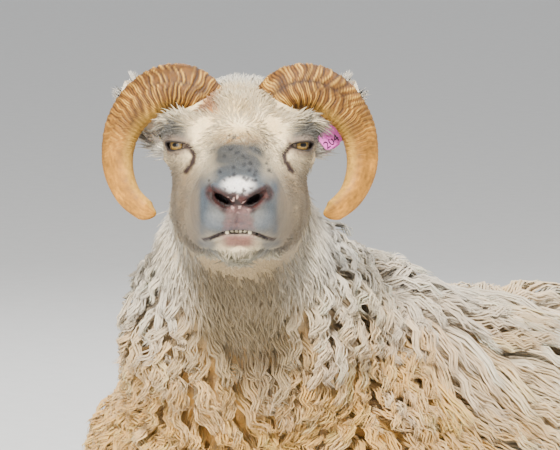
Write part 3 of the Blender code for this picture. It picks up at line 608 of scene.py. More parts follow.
@dataclass(frozen=True)
class FaceMarkings:
    """Colours of the face, shared by its skin and its hair."""

    cream: tuple = (250, 226, 180)
    warm: tuple = (230, 196, 138)
    # Tan of the cheeks, partly their own colour and partly painted shade.
    tan: tuple = (98, 78, 54)
    slate: tuple = (66, 74, 82)
    # Grey of the nose bridge, also used as painted shade under the brow.
    grey_and_brow_shade: tuple = (62, 62, 60)
    pale: tuple = (246, 240, 236)
    dark: tuple = (40, 28, 28)
    flesh: tuple = (88, 18, 16)
    stain: tuple = (38, 20, 14)
    # Painted shade under the jaw.
    jaw: tuple = (150, 128, 94)
    rust: tuple = (172, 112, 62)
    straw: tuple = (198, 146, 66)
    # Painted shade in the crease along the muzzle's side.
    cheek_fold_shade: tuple = (112, 100, 84)
    bloom: tuple = (140, 144, 148)
    freckle: tuple = (20, 20, 26)
    nose: tuple = (62, 32, 29)
    nose_fleck: tuple = (208, 172, 164)
    # Dark red nostril lining, darkened deep inside as painted shade.
    nostril: tuple = (46, 10, 10)
    cleft: tuple = (112, 84, 82)
    lip_line: tuple = (44, 32, 32)
    # Inside of the mouth, darkened as painted shade in the slit.
    mouth: tuple = (26, 12, 12)
    lower_lip: tuple = (138, 96, 86)
    # The chin's pale beard, greyed as painted shade.
    shaded_chin: tuple = (176, 166, 138)
    lid: tuple = (116, 98, 84)
    lid_edge: tuple = (34, 26, 24)
    nape: tuple = (246, 236, 216)
    spots: int = 44
    nose_top: tuple = ((0.0, -0.0585), (0.011, -0.0575), (0.017, -0.053), (0.025, -0.048))

    def tint(self, points: Array) -> Array:
        """Colours at points of the head's surface.

        Args:
            points: Points of the model's frame.

        Returns:
            Linear colours, one row a point.
        """
        local = HEAD.local(points)
        fold = mirrored(local)
        side, ahead = local[:, 0], local[:, 1]
        wide, high = fold[:, 0], face_height(local)
        flat = np.stack([wide, high], 1)
        patch = cloud(points, 0.02, 3)
        fleck = cloud(points, 0.0045, 4)
        colour = np.tile(paint(*self.cream), (len(points), 1))

        def lay(target: tuple, share: Array) -> None:
            """Mixes a colour over what is there."""
            colour[:] = blend(colour, target, np.clip(share, 0, 1)[:, None])

        lay(self.warm, 0.75 * bump(wide, 0.0, 0.06) * ramp(high, -0.012, 0.012) * (0.7 + 0.6 * patch))
        # The cheeks' tan: partly their own colour, partly painted shade, fading towards the back of the head.
        side_on = 0.45 + 0.55 * ramp(ahead, -0.03, 0.02)
        lower = ramp(wide, 0.022, 0.044) * (1 - ramp(high, -0.034, 0.0))
        lay(self.tan, (0.8 + 0.08 * patch) * side_on * lower)
        outer = ramp(wide, 0.04, 0.062) * (1 - ramp(high, 0.0, 0.03))
        lay(self.tan, (0.42 + 0.08 * patch) * side_on * outer)
        lay(self.rust, 0.95 * bump(np.hypot(side + 0.0275, high - 0.041), 0, 0.015))
        lay(self.straw, 0.95 * bump(wide, 0.004, 0.022) * bump(high, 0.002, 0.013) * (0.6 + 0.7 * fleck))
        # Painted shade under the brow, above and behind the outer eye.
        brow_shade = bump(wide, 0.066, 0.024) * bump(high, 0.014, 0.015)
        lay(self.grey_and_brow_shade, 0.95 * brow_shade * ramp(ahead, -0.032, -0.014))
        lay(self.grey_and_brow_shade, 1.15 * bump(wide, 0.0, 0.042) * bump(high, -0.023, 0.045) * (0.93 + 0.1 * patch))
        front = ramp(ahead, 0.062, 0.092)
        muzzle = bump(high, -0.062, 0.052) * ramp(0.05 - wide, 0.0, 0.014)
        lay(self.slate, ramp(ahead, 0.03, 0.084) * muzzle * (0.97 + 0.05 * patch))
        # Painted shade in the crease along the muzzle's side.
        crease_shade = bump(wide, 0.046, 0.011) * bump(high, -0.072, 0.044)
        lay(self.cheek_fold_shade, 0.8 * crease_shade * ramp(ahead, 0.01, 0.03))
        lay(self.bloom, 0.3 * front * bump(wide, 0.024, 0.013) * bump(high, -0.074, 0.012))
        lay(self.slate, 0.8 * front * bump(wide, 0.032, 0.016) * bump(high, -0.103, 0.014))
        crown = bump(np.hypot(wide / 0.0185, (high + 0.04) / 0.0095), 0, 1.15)
        lay(self.pale, 0.9 * crown * ramp(ahead, 0.07, 0.09))
        lay(self.dark, 0.9 * ramp(fleck, 0.15, 0.45) * bump(wide, 0.006, 0.016) * bump(high, -0.046, 0.006))
        rng = np.random.default_rng(21)
        for _ in range(self.spots):
            x, y, r = rng.uniform(-0.03, 0.03), rng.uniform(-0.036, 0.016), rng.uniform(0.001, 0.0021)
            lay(self.freckle, 0.85 * bump(np.hypot(side - x, high - y), 0, r * 1.5))
        nose = front * (1 - ramp(track(flat, self.nose_top) + 0.0015 * patch, 0.005, 0.011))
        lay(self.nose, nose)
        lay(self.dark, nose * ramp(cloud(points, 0.0075, 5), -0.35, 0.15))
        lay(self.nose_fleck, nose * ramp(-fleck, 0.5, 0.62) * bump(wide, 0.0, 0.014))
        depth = FORM.head(local)
        lay(self.flesh, ramp(depth, -0.0018, -0.0048) * front * bump(high, -0.056, 0.016))
        # Deep in the nostrils: their dark lining, darkened further the deeper as painted shade.
        lay(self.nostril, ramp(depth, -0.006, -0.011) * front)
        spread = 0.009 + 0.22 * (-0.062 - high)
        cleft = front * (1 - ramp(wide + 0.002 * fleck, spread, spread + 0.005)) * bump(high, -0.073, 0.016)
        lay(self.cleft, 0.85 * cleft * (0.85 + 0.25 * fleck))
        away = FACE.string(fold, FACE.mouth_line, np.zeros(len(FACE.mouth)))
        lips = ramp(ahead, 0.045, 0.065)
        lay(self.lip_line, lips * (1 - ramp(away, 0.0012, 0.0032)))
        # Inside the mouth slit: its dark inside, darkened the deeper as painted shade.
        lay(self.mouth, lips * ramp(depth, -0.002, -0.0042))
        lay(self.lower_lip, 0.92 * front * bump(wide, 0.0, 0.022) * bump(high, -0.0945, 0.0085))
        # Painted shade over the pale beard of the chin.
        lay(self.shaded_chin, ramp(-high, 0.1, 0.108) * ramp(ahead, 0.04, 0.07))
        # Painted shade on the jaw's underside, where the head shades itself.
        jaw_underside_shade = (1 - ramp(ahead, 0.045, 0.075)) * ramp(ahead, -0.06, -0.03)
        lay(self.jaw, 0.85 * ramp(-high, 0.102, 0.114) * jaw_underside_shade)
        away = EYE.gap(fold)
        ring = ramp(EYE.local(fold)[:, 2], 0.0, 0.004)
        lay(self.lid, 0.8 * (1 - ramp(away, 0.003, 0.0085)) * ring)
        lay(self.lid_edge, (1 - ramp(away, 0.0008, 0.0034)) * ring)
        away = track(flat, FACE.tear)
        lay(self.stain, (1 - ramp(away + 0.0008 * fleck, 0.0014, 0.0046)) * ramp(ahead, -0.02, 0.01))
        lay(self.nape, ramp(-ahead, 0.04, 0.062) * ramp(local[:, 2], -0.06, -0.03))
        return np.clip(colour * (1 + 0.06 * fleck)[:, None], 0, 1)


@dataclass(frozen=True)
class WoolColours:
    """Colours of the fleece over the body, with painted shadow on the throat's wool."""

    white: tuple = (250, 245, 234)
    cream: tuple = (250, 234, 200)
    amber: tuple = (252, 190, 98)
    frost: tuple = (234, 236, 242)
    leg: tuple = (232, 222, 204)
    # Painted shadow of the head on the throat's wool.
    throat: tuple = (158, 134, 96)

    def tint(self, points: Array) -> Array:
        """Colours of the wool that grows at these points.

        Args:
            points: Points of the model's frame.

        Returns:
            Linear colours, one row a point.
        """
        patch = cloud(points, 0.06, 8)
        fine = cloud(points, 0.022, 9)
        chest = ramp(-points[:, 2], -0.5, -0.37) * ramp(-points[:, 1], -0.1, 0.16)
        amber = np.clip(0.38 + 0.62 * chest + 0.24 * patch + 0.2 * fine, 0, 1)[:, None]
        neck = ramp(points[:, 2] + 0.03 * patch, 0.36, 0.52)[:, None]
        amber = amber * (1 - 0.8 * neck)
        top = ramp(points[:, 2], 0.34, 0.44) * ramp(points[:, 1], -0.16, 0.02)
        frost = np.clip(0.36 * top + 0.34 * ramp(points[:, 2], 0.4, 0.52) - 0.15 * patch, 0, 1)[:, None]
        colour = blend(paint(*self.cream), self.amber, amber)
        colour = colour * (1 - frost) + (0.6 * paint(*self.white) + 0.4 * paint(*self.frost)) * frost
        side = HEAD.local(points)[:, 0]
        # Painted shadow of the head over the throat's wool.
        throat = bump(side, 0.0, 0.075) * bump(points[:, 2], 0.455, 0.085) * ramp(-points[:, 1], 0.16, 0.26)
        colour = blend(colour, self.throat, (0.9 * throat)[:, None])
        colour[FORM.legs(points) < 0.012] = paint(*self.leg)
        return colour


MARKINGS = FaceMarkings()
WOOL = WoolColours()


class Layer(Enum):
    """Names of finishes; the coat pieces are handed one but don't use it."""

    FLEECE = "fleece"
    FACE = "face_hair"
    HORN = "horn"
    EYE = "eye"
    TAG = "tag_plastic"


class Finish:
    """A node material under construction."""

    usual_noise: ClassVar[tuple] = (0.3, 0.7)

    def __init__(self, name: str, roughness: float) -> None:
        """Starts a material with a Principled shader.

        Args:
            name: The material's name.
            roughness: The shader's roughness.
        """
        self.made = bpy.data.materials.new(name)
        self.made.use_nodes = True
        self.nodes = self.made.node_tree.nodes
        self.shader = self.nodes["Principled BSDF"]
        self.shader.inputs["Roughness"].default_value = roughness

    def add(self, kind: str, **settings: object) -> bpy.types.Node:
        """Adds a node; settings name its sockets or its properties."""
        node = self.nodes.new(kind)
        for key, value in settings.items():
            if key in node.inputs:
                node.inputs[key].default_value = value
            else:
                setattr(node, key, value)
        return node

    def link(self, source: Socket, target: Socket) -> None:
        """Joins two sockets."""
        self.made.node_tree.links.new(source, target)

    def set(self, **values: object) -> None:
        """Sets sockets of the shader, with spaces written as underscores."""
        for key, value in values.items():
            self.shader.inputs[key.replace("_", " ")].default_value = value

    def place(self) -> Socket:
        """Adds the point in the piece's own axes."""
        return self.add("ShaderNodeTexCoord").outputs["Object"]

    def flat(self, colour: tuple) -> Socket:
        """Adds a plain linear colour."""
        node = self.add("ShaderNodeRGB")
        node.outputs[0].default_value = (*colour, 1.0)
        return node.outputs[0]

    def tint(self) -> Socket:
        """Adds the colour that the piece stores for each point."""
        return self.add("ShaderNodeAttribute", attribute_name="tint").outputs["Color"]

    def noise(self, vector: Socket, scale: float, detail: float = 3.0) -> Socket:
        """Adds a noise on a vector and gives its value."""
        node = self.add("ShaderNodeTexNoise", Scale=scale, Detail=detail)
        self.link(vector, node.inputs["Vector"])
        return node.outputs["Fac"]

    def vary(self, value: Socket, first: float, last: float, span: tuple = usual_noise) -> Socket:
        """Maps a value's span to the range from first to last, clamped."""
        node = self.add("ShaderNodeMapRange")
        self.link(value, node.inputs[0])
        for i, number in enumerate((*span, first, last)):
            node.inputs[i + 1].default_value = number
        return node.outputs[0]

    def colour_by(self, colour: Socket, level: Socket) -> None:
        """Colours the shader by a colour scaled by a level."""
        self.link(self.shade(colour, level), self.shader.inputs["Base Color"])

    def shade(self, colour: Socket, factor: Socket) -> Socket:
        """Scales a colour by a value."""
        node = self.add("ShaderNodeVectorMath", operation="SCALE")
        self.link(colour, node.inputs[0])
        self.link(factor, node.inputs["Scale"])
        return node.outputs[0]

    def raise_by(self, height: Socket, distance: float, strength: float) -> None:
        """Adds a bump to the shader."""
        node = self.add("ShaderNodeBump", Strength=strength, Distance=distance)
        self.link(height, node.inputs["Height"])
        self.link(node.outputs["Normal"], self.shader.inputs["Normal"])


def hair_finish(name: str, roughness: float, sheen: float) -> Material:
    """A coat material: each tuft's own colour with fine streaks along it.

    Args:
        name: The material's name.
        roughness: How matt it is.
        sheen: Strength of its soft edge light.

    Returns:
        The material.
    """
    finish = Finish(name, roughness)
    fibre = finish.add("ShaderNodeAttribute", attribute_name="fibre").outputs["Vector"]
    streak = finish.noise(fibre, 1.0, 4.0)
    finish.colour_by(finish.tint(), finish.vary(streak, 0.74, 1.34, (0.28, 0.72)))
    finish.raise_by(streak, 0.0016, 0.9)
    finish.set(Sheen_Weight=sheen, Sheen_Roughness=0.4, Specular_IOR_Level=0.25)
    finish.set(Subsurface_Weight=0.25, Subsurface_Scale=1.0, Subsurface_Radius=(0.007, 0.0065, 0.0055))
    return finish.made


def skin_finish() -> Material:
    """The skin and short hair under the tufts, coloured by its markings."""
    finish = Finish("short_hide", 0.62)
    place = finish.place()
    grain = finish.noise(place, 420.0)
    pores = finish.add("ShaderNodeTexVoronoi", Scale=620.0)
    finish.link(place, pores.inputs["Vector"])
    finish.colour_by(finish.tint(), finish.vary(grain, 0.86, 1.1))
    both = finish.add("ShaderNodeMath", operation="ADD")
    finish.link(grain, both.inputs[0])
    finish.link(pores.outputs["Distance"], both.inputs[1])
    finish.raise_by(both.outputs[0], 0.0006, 0.7)
    finish.set(Subsurface_Weight=0.15, Subsurface_Scale=1.0, Subsurface_Radius=(0.003, 0.002, 0.001))
    finish.set(Specular_IOR_Level=0.35)
    return finish.made


def add_object(name: str, data: bpy.types.ID) -> Piece:
    """Puts an object with this data into the scene."""
    made = bpy.data.objects.new(name, data)
    bpy.context.scene.collection.objects.link(made)
    return made


def plain_mesh(piece: Piece) -> bpy.types.Mesh:
    """A piece's mesh with its modifiers applied, or a text's faces."""
    bpy.context.view_layer.update()
    return bpy.data.meshes.new_from_object(piece.evaluated_get(bpy.context.evaluated_depsgraph_get()))


def settle(piece: Piece) -> Piece:
    """Applies a piece's modifiers."""
    made = plain_mesh(piece)
    piece.modifiers.clear()
    piece.data = made
    return piece


def new_piece(
    name: str, points: Array, faces: Array, material: Material
) -> Piece:
    """Makes a smooth mesh object of faces that all have the same number of corners.

    Args:
        name: The piece's name.
        points: Its points.
        faces: Rows of point numbers.
        material: Its finish.

    Returns:
        The object, in the scene.
    """
    mesh = bpy.data.meshes.new(name)
    corners = faces.shape[1]
    mesh.vertices.add(len(points))
    mesh.vertices.foreach_set("co", points.astype(np.float32).ravel())
    mesh.loops.add(faces.size)
    mesh.loops.foreach_set("vertex_index", faces.astype(np.int32).ravel())
    mesh.polygons.add(len(faces))
    mesh.polygons.foreach_set("loop_start", np.arange(len(faces), dtype=np.int32) * corners)
    mesh.polygons.foreach_set("loop_total", np.full(len(faces), corners, dtype=np.int32))
    mesh.polygons.foreach_set("use_smooth", np.ones(len(faces), dtype=bool))
    mesh.update(calc_edges=True)
    mesh.validate()
    mesh.materials.append(material)
    piece = add_object(name, mesh)
    return piece


def put_tint(piece: Piece, colours: Array) -> None:
    """Stores a colour for each point of a piece.

    Args:
        piece: The mesh object.
        colours: Linear colours, one row a point.
    """
    layer = piece.data.color_attributes.new("tint", "FLOAT_COLOR", "POINT")
    rows = np.concatenate([colours, np.ones((len(colours), 1))], 1).astype(np.float32)
    layer.data.foreach_set("color", rows.ravel())


def points_of(piece: Piece) -> Array:
    """The points of a mesh object."""
    flat = np.empty(len(piece.data.vertices) * 3, np.float32)
    piece.data.vertices.foreach_get("co", flat)
    return flat.reshape(-1, 3).astype(float)


def surface_of(shape: Field, low: Array | tuple, high: Array | tuple, step: float) -> Pair:
    """A closed quad surface of a distance field between two corners.

    Args:
        shape: The field.
        low: Lowest corner.
        high: Highest corner.
        step: Size of a grid cell.

    Returns:
        Points and faces, with the faces outwards.
    """
    low, high = np.array(low, float), np.array(high, float)
    counts = np.ceil((high - low) / step).astype(int) + 1
    axes = [low[i] + step * np.arange(counts[i]) for i in range(3)]
    values = np.empty(counts, np.float32)
    y, z = np.meshgrid(axes[1], axes[2], indexing="ij")
    for index, x in enumerate(axes[0]):
        values[index] = shape(np.stack([np.full_like(y, x), y, z], axis=-1))
    far = 4 * step
    values = np.clip(values, -far, far)
    for side in (0, -1):
        values[side], values[:, side], values[:, :, side] = far, far, far
    grid = openvdb.FloatGrid(far)
    grid.copyFromArray(values)
    points, quads = grid.convertToQuads()
    points = points * step + low
    quads = np.asarray(quads)
    middle = points[quads].mean(axis=1)
    sides = np.cross(points[quads[:, 2]] - points[quads[:, 0]], points[quads[:, 3]] - points[quads[:, 1]])
    if np.einsum("ij,ij->i", middle, sides).sum() < 0:
        quads = quads[:, ::-1]
    return points, quads


@dataclass
class Skin:
    """The animal's skin: head, neck, trunk, tail and legs in one piece."""

    body_step: float = 0.008
    head_step: float = 0.0019
    quick_step: float = 0.003
    core: float = 0.4
    hair: float = 0.0012
    # Painted shade of the skin deep under the wool.
    under_wool: float = 0.86
    body_box: tuple = ((-0.27, -0.4, -0.02), (0.3, 0.6, 0.62))
    head_reach: tuple = (0.21, 0.2)
    head_plane: tuple = (0.0, -0.068, -0.06)

    def beyond_head(self, points: Array) -> Array:
        """Distance behind the plane that parts the head from the neck."""
        normal = unit(-0.62 * HEAD.ahead - 0.78 * HEAD.up)
        return (points - HEAD.world(self.head_plane)) @ normal

    def body(self, points: Array) -> Array:
        """Field of everything but the head."""
        trunk = merge(FORM.fleeced(points, self.core), FORM.legs(points) + 0.002, 0.02)
        trunk = merge(trunk, FORM.tail(points) + 0.006, 0.03)
        trunk = np.maximum(trunk, 0.002 - points[..., 2])
        return np.maximum(trunk, -0.012 - self.beyond_head(points))

    def head(self, points: Array) -> Array:
        """Field of the head and the top of the neck."""
        head = FACE.head(HEAD.local(points), self.hair)
        neck = FORM.fleeced(points, self.core)
        return np.maximum(merge(neck, head, 0.02), self.beyond_head(points) - 0.03)

    def build(self, material: Material) -> Piece:
        """Makes the skin.

        Args:
            material: Its finish.

        Returns:
            The piece, standing for the flesh solids.
        """
        body, faces = surface_of(self.body, *self.body_box, self.body_step)
        middle, step = np.array(HEAD.middle), self.head_step
        low, high = self.head_reach
        fine, quads = surface_of(self.head, middle - low, middle + high, step)
        points = np.concatenate([body, fine])
        piece = new_piece("skin", points, np.concatenate([faces, quads + len(body)]), material)
        wool = np.concatenate([np.ones(len(body)), FORM.coat_share(fine) * 1.6]).clip(0, 1)[:, None]
        wool *= (points[:, 2] < 0.6)[:, None]
        # Under the wool the skin takes the wool's colour darkened as painted shade; elsewhere the face's
        # markings.
        put_tint(piece, WOOL.tint(points) * self.under_wool * wool + MARKINGS.tint(points) * (1 - wool))
        limbs = [f"{part}leg_{side}" for part in ("fore", "hind") for side in ("left", "right")]
        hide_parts("head", "neck", "torso", "tail", *limbs)
        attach(piece, "root")
        return piece


@dataclass
class Tufts:
    """Centre lines and sizes of many tufts of one coat piece."""

    softness: ClassVar[float] = 0.5
    bound: ClassVar[int] = 190000
    # Painted shade: tufts are darker at the roots, rising to a little lighter at the tips.
    root_tone: ClassVar[float] = 0.78
    tip_gain: ClassVar[float] = 0.28
    paths: Array
    across: Array
    out: Array
    half_width: Array
    half_thick: Array
    colours: Array
    roots: Array

    def soften(self, piece: Piece, rings: int) -> None:
        """Turns the shading of each tuft part of the way to the skin's, as in a dense coat.

        Args:
            piece: The tufts' mesh object.
            rings: Rings in each tuft.
        """
        flat = np.empty(len(piece.data.vertices) * 3, np.float32)
        piece.data.vertices.foreach_get("normal", flat)
        own = flat.reshape(len(self.paths), -1, 3)
        skin = np.concatenate([np.repeat(self.out[:, :rings], 3, axis=1), self.out[:, rings:]], axis=1)
        mixed = unit(own * (1 - self.softness) + skin * self.softness)
        piece.data.normals_split_custom_set_from_vertices(mixed.reshape(-1, 3))

    def piece(self, name: str, slot: Layer, material: Material, unwrap: Field) -> Piece:
        """Makes the tufts as one mesh of closed three-sided shafts.

        Args:
            name: The piece's name.
            slot: Not used.
            material: Its finish.
            unwrap: Gives each root's place on the unwrapped skin.

        Returns:
            The piece.
        """
        count, rings = self.paths.shape[0], self.paths.shape[1] - 1
        angles = np.radians([90, 210, 330])
        shape = self.paths[:, :rings, None, :].repeat(3, 2)
        for half, way, part in (
            (self.half_width, self.across, np.cos(angles)),
            (self.half_thick, self.out, np.sin(angles)),
        ):
            shape = shape + half[:, :rings, None, None] * part[None, None, :, None] * way[:, :rings, None, :]
        each = rings * 3 + 1
        points = np.concatenate([shape.reshape(count, rings * 3, 3), self.paths[:, rings:]], axis=1)
        faces = [(0, 1, 2)]
        for r in range(rings - 1):
            for s in range(3):
                t = (s + 1) % 3
                a, b, c, d = r * 3 + s, r * 3 + t, (r + 1) * 3 + t, (r + 1) * 3 + s
                faces += [(a, d, c), (a, c, b)]
        faces += [((rings - 1) * 3 + s, rings * 3, (rings - 1) * 3 + (s + 1) % 3) for s in range(3)]
        faces = np.array(faces)
        tall = (np.arange(count) * each)[:, None, None] + faces[None]
        piece = new_piece(name, points.reshape(-1, 3), tall.reshape(-1, 3), material)
        share = np.concatenate([np.repeat(np.arange(rings) / rings, 3), [1.0]])
        turn = np.concatenate([np.tile(angles, rings), [angles[0]]])
        # Painted shade: each tuft darker at its root than at its tip.
        colours = self.colours[:, None, :] * (self.root_tone + self.tip_gain * share**0.7)[None, :, None]
        put_tint(piece, np.clip(colours, 0, 1).reshape(-1, 3))
        rng = np.random.default_rng(count)
        shift = rng.uniform(0, 50, (count, 1, 3))
        fibre = np.stack([5.0 * np.cos(turn), 5.0 * np.sin(turn), 1.8 * share], 1)[None] + shift
        layer = piece.data.attributes.new("fibre", "FLOAT_VECTOR", "POINT")
        layer.data.foreach_set("vector", fibre.astype(np.float32).ravel())
        self.soften(piece, rings)
        patch = np.stack([turn / 6.3, share], 1) * 0.003
        spots = unwrap(self.roots)[:, None, :] + patch[None]
        uv = spots.reshape(-1, 2)[tall.reshape(-1)]
        piece.data.uv_layers.new(name="OFBake").data.foreach_set("uv", uv.astype(np.float32).ravel())
        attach(piece, "root")
        return piece

    def pieces(
        self, name: str, slot: Layer, material: Material, unwrap: Field
    ) -> list[Piece]:
        """Makes the tufts as several pieces of a bounded size, cut along the body.

        Args:
            name: Start of the pieces' names.
            slot: Handed on to each piece.
            material: Their finish.
            unwrap: Gives each root's place on the unwrapped skin.

        Returns:
            The pieces.
        """
        most = self.bound // (6 * (self.paths.shape[1] - 2) + 4)
        order = np.argsort(self.roots[:, 1], kind="stable")
        made = []
        for number, start in enumerate(range(0, len(order), most)):
            part = order[start : start + most]
            some = Tufts(*(getattr(self, item.name)[part] for item in fields(self)))
            made.append(some.piece(f"{name}_{number + 1}", slot, material, unwrap))
        LOG.info("%s: %d tufts in %d pieces", name, len(order), len(made))
        return made


def scatter(
    points: Array, faces: Array, tries: int, spacing: Field, rng: Random
) -> Array:
    """Spreads places over a surface with room between them.

    Args:
        points: The surface's points.
        faces: Its quads.
        tries: How many places are tried.
        spacing: Room wanted at each place, or zero for none there.
        rng: The random source.

    Returns:
        The places kept.
    """
    triangles = np.concatenate([faces[:, [0, 1, 2]], faces[:, [0, 2, 3]]])
    corners = points[triangles]
    areas = np.linalg.norm(np.cross(corners[:, 1] - corners[:, 0], corners[:, 2] - corners[:, 0]), axis=1)
    picks = rng.choice(len(areas), tries, p=areas / areas.sum())
    shares = np.sort(rng.random((tries, 2)), axis=1)
    weights = np.stack([shares[:, 0], shares[:, 1] - shares[:, 0], 1 - shares[:, 1]], axis=1)
    places = np.einsum("ij,ijk->ik", weights, corners[picks])
    room = spacing(places)
    places, room = places[room > 0], room[room > 0]
    cell = room.max()
    taken: dict[tuple[int, int, int], list[int]] = {}
    kept: list[int] = []
    keys = np.floor(places / cell).astype(int)
    around = [(i, j, k) for i in (-1, 0, 1) for j in (-1, 0, 1) for k in (-1, 0, 1)]
    for index, (key, place) in enumerate(zip(map(tuple, keys), places)):
        near = [n for i, j, k in around for n in taken.get((key[0] + i, key[1] + j, key[2] + k), ())]
        if near and np.min(np.sum((places[near] - place) ** 2, axis=1)) < room[index] ** 2:
            continue
        taken.setdefault(key, []).append(index)
        kept.append(index)
    return places[kept]


def thinned(tries: int) -> int:
    """How many places are tried."""
    return tries // 1


def plush(points: Array) -> Array:
    """Where short dense wool takes the place of long locks: near the head, and far down the throat."""
    share = FORM.coat_share(points)
    side = HEAD.local(points)[:, 0]
    throat = bump(side, 0.0, 0.07) * ramp((points - np.array(HEAD.middle)) @ HEAD.level, -0.1, -0.04)
    return 1 - ramp(share, 0.46 + 0.36 * throat, 0.74 + 0.25 * throat)


@dataclass
class Fleece:
    """The long wool of neck, trunk and tail, in wavy locks made of several strands."""

    name: str
    chest: bool
    rings: int
    strands: int
    crimp: float
    wave: float
    tries: int = 80000
    core: float = 0.4
    parting: float = -0.08
    chest_room: float = 0.0134
    back_room: float = 0.0245
    half_width: float = 0.00115
    half_thick: float = 0.0008

    def spacing(self, points: Array) -> Array:
        """Room between locks, or zero where no wool of this kind grows."""
        flank = ramp(points[:, 0], 0.0, 0.08) * ramp(points[:, 2], 0.14, 0.24)
        room = np.full(len(points), self.chest_room) if self.chest else self.back_room - 0.0085 * flank
        bare = (points[:, 2] < 0.03) | (FORM.legs(points) < 0.004) | (plush(points) > 0.5)
        other = (points[:, 1] < self.parting) != self.chest
        return np.where(bare | other, 0.0, room)

    def lie(self, points: Array, normals: Array, phase: Array) -> Array:
        """Which way the wool hangs.

        Args:
            points: Where it grows.
            normals: The skin's outward directions.
            phase: One random angle a lock.

        Returns:
            Unit vectors along the skin.
        """
        back = 0.8 * ramp(points[:, 1], -0.25, 0.1)
        apart = 0.35 * ramp(-points[:, 1], 0.16, 0.26) * np.clip((points[:, 0] - 0.03) / 0.1, -1, 1)
        wanted = np.stack([apart, back, -np.ones(len(points))], axis=-1)
        parts = [share * cloud(points, 0.1, seed) for seed, share in ((31, 1), (32, 1), (33, 0.3))]
        swirl = np.stack(parts, -1)
        along = square_to(wanted + 0.38 * swirl, normals)
        across = np.cross(along, normals)
        turn = 0.3 * np.sin(phase)[:, None]
        return unit(along * np.cos(turn) + across * np.sin(turn))

    def length(self, points: Array) -> Array:
        """Length of the locks that grow at these points."""
        share = FORM.coat_share(points)
        trunk = 0.048 + 0.058 * ramp(points[:, 1], -0.16, 0.05)
        return 0.026 + (trunk - 0.026) * ramp(share, 0.5, 1.0)

    def field(self, points: Array) -> Array:
        """The wool's core with the tail."""
        return np.minimum(FORM.whole(points, self.core), FORM.tail(points) + 0.006)

    def locks(self, roots: Array, rng: Random) -> tuple[Array, Array, Array]:
        """Follows the lie of the wool from each root.

        Args:
            roots: Places on the core.
            rng: The random source.

        Returns:
            Middle lines, across and outward directions, one row a lock.
        """
        base = roots.copy()
        phase = rng.uniform(*ANY_ANGLE, len(roots))
        step = (self.length(roots) * rng.uniform(0.8, 1.2, len(roots)) / self.rings)[:, None]
        full = 0.62 + 0.38 * ramp(FORM.coat_share(roots), 0.6, 1.0)
        depth = FORM.coat_depth(roots) * (1 - self.core) * full
        lift = rng.uniform(0.68, 1.0, len(roots)) * depth
        curl = rng.uniform(-0.1, 0.4, len(roots)) * depth
        paths, sides, outs = [], [], []
        for ring in range(self.rings + 1):
            share = ring / self.rings
            normals = slope(base, self.field, 0.003)
            along = self.lie(base, normals, phase)
            rise = -0.004 + (lift + 0.004) * math.sin(min(1.0, share * 1.8) * math.pi / 2) + curl * share**3
            paths.append(base + normals * rise[:, None])
            sides.append(np.cross(along, normals))
            outs.append(normals)
            base = base + step * along
            base = base - normals * self.field(base)[:, None]
        return np.stack(paths, 1), np.stack(sides, 1), np.stack(outs, 1)

    def grow(self, skin: Pair, rng: Random) -> Tufts:
        """Grows all strands of the fleece.

        Args:
            skin: Points and quads of the core.
            rng: The random source.

        Returns:
            The strands.
        """
        roots = scatter(*skin, thinned(self.tries), self.spacing, rng)
        paths, sides, outs = self.locks(roots, rng)
        count, rings = len(roots), self.rings + 1
        LOG.info("%s: %d locks of %d strands", self.name, count, self.strands)
        share = np.linspace(0, 1, rings)[None, None, :]
        span = self.length(roots)[:, None, None]
        place = np.arange(self.strands)[None] + rng.random((count, self.strands))
        angle = math.tau * place / self.strands
        room = self.spacing(roots)[:, None]
        reach = 0.62 * np.minimum(room, 0.02) * np.sqrt(rng.uniform(0.15, 1, angle.shape))
        grown = ramp(FORM.coat_share(roots), 0.3, 0.95)[:, None, None]
        close = (1 - (0.1 + 0.3 * grown) * share**1.3) * np.ones((count, self.strands, 1))
        turns = math.tau * span * share / self.wave
        phase = rng.uniform(*ANY_ANGLE, (count, 1, 1)) + rng.normal(0, 0.8, (count, self.strands, 1))
        swell = self.crimp * (0.25 + 0.95 * share) * rng.uniform(0.5, 1.5, (count, 1, 1))
        swell = swell * (0.2 + 0.8 * grown)
        sway = reach[..., None] * np.cos(angle)[..., None] * close + swell * np.sin(turns + phase)
        heave = 0.4 * reach[..., None] * np.sin(angle)[..., None] * close
        heave = heave + 0.6 * swell * np.cos(turns + phase)
        lines = paths[:, None] + sides[:, None] * sway[..., None] + outs[:, None] * heave[..., None]
        lines = lines.reshape(-1, rings, 3)
        lines[..., 2] = np.maximum(lines[..., 2], 0.004)
        ahead = unit(np.gradient(lines, axis=1))
        out = np.repeat(outs, self.strands, axis=0)
        across = unit(np.cross(ahead, out))
        out = np.cross(across, ahead)
        taper = np.interp(np.linspace(0, 1, rings), [0, 0.2, 0.6, 0.9, 1], [0.55, 0.85, 1.0, 0.55, 0.1])
        size = 0.8 + 0.2 * grown[:, 0] + 18 * (room - 0.0115)
        size = rng.uniform(0.75, 1.25, (len(lines), 1)) * np.repeat(size, self.strands, axis=0)
        starts = np.repeat(roots, self.strands, axis=0)
        tone = rng.uniform(0.84, 1.14, (count, 1, 1)) * rng.uniform(0.88, 1.1, (count, self.strands, 1))
        colours = (WOOL.tint(roots)[:, None] * tone).reshape(-1, 3)
        wide, thick = self.half_width * size * taper, self.half_thick * size * taper
        return Tufts(lines, across, out, wide, thick, colours, starts)

    def build(self, skin: Pair, material: Material) -> list[Piece]:
        """Makes the fleece as pieces of a bounded size."""
        tufts = self.grow(skin, np.random.default_rng(5 + self.rings))
        return tufts.pieces(self.name, Layer.FLEECE, material, body_unwrap)


BACK_WOOL = Fleece("fleece", False, 6, 12, 0.0036, 0.036)
CHEST_WOOL = Fleece("chest_fleece", True, 8, 12, 0.0056, 0.024)


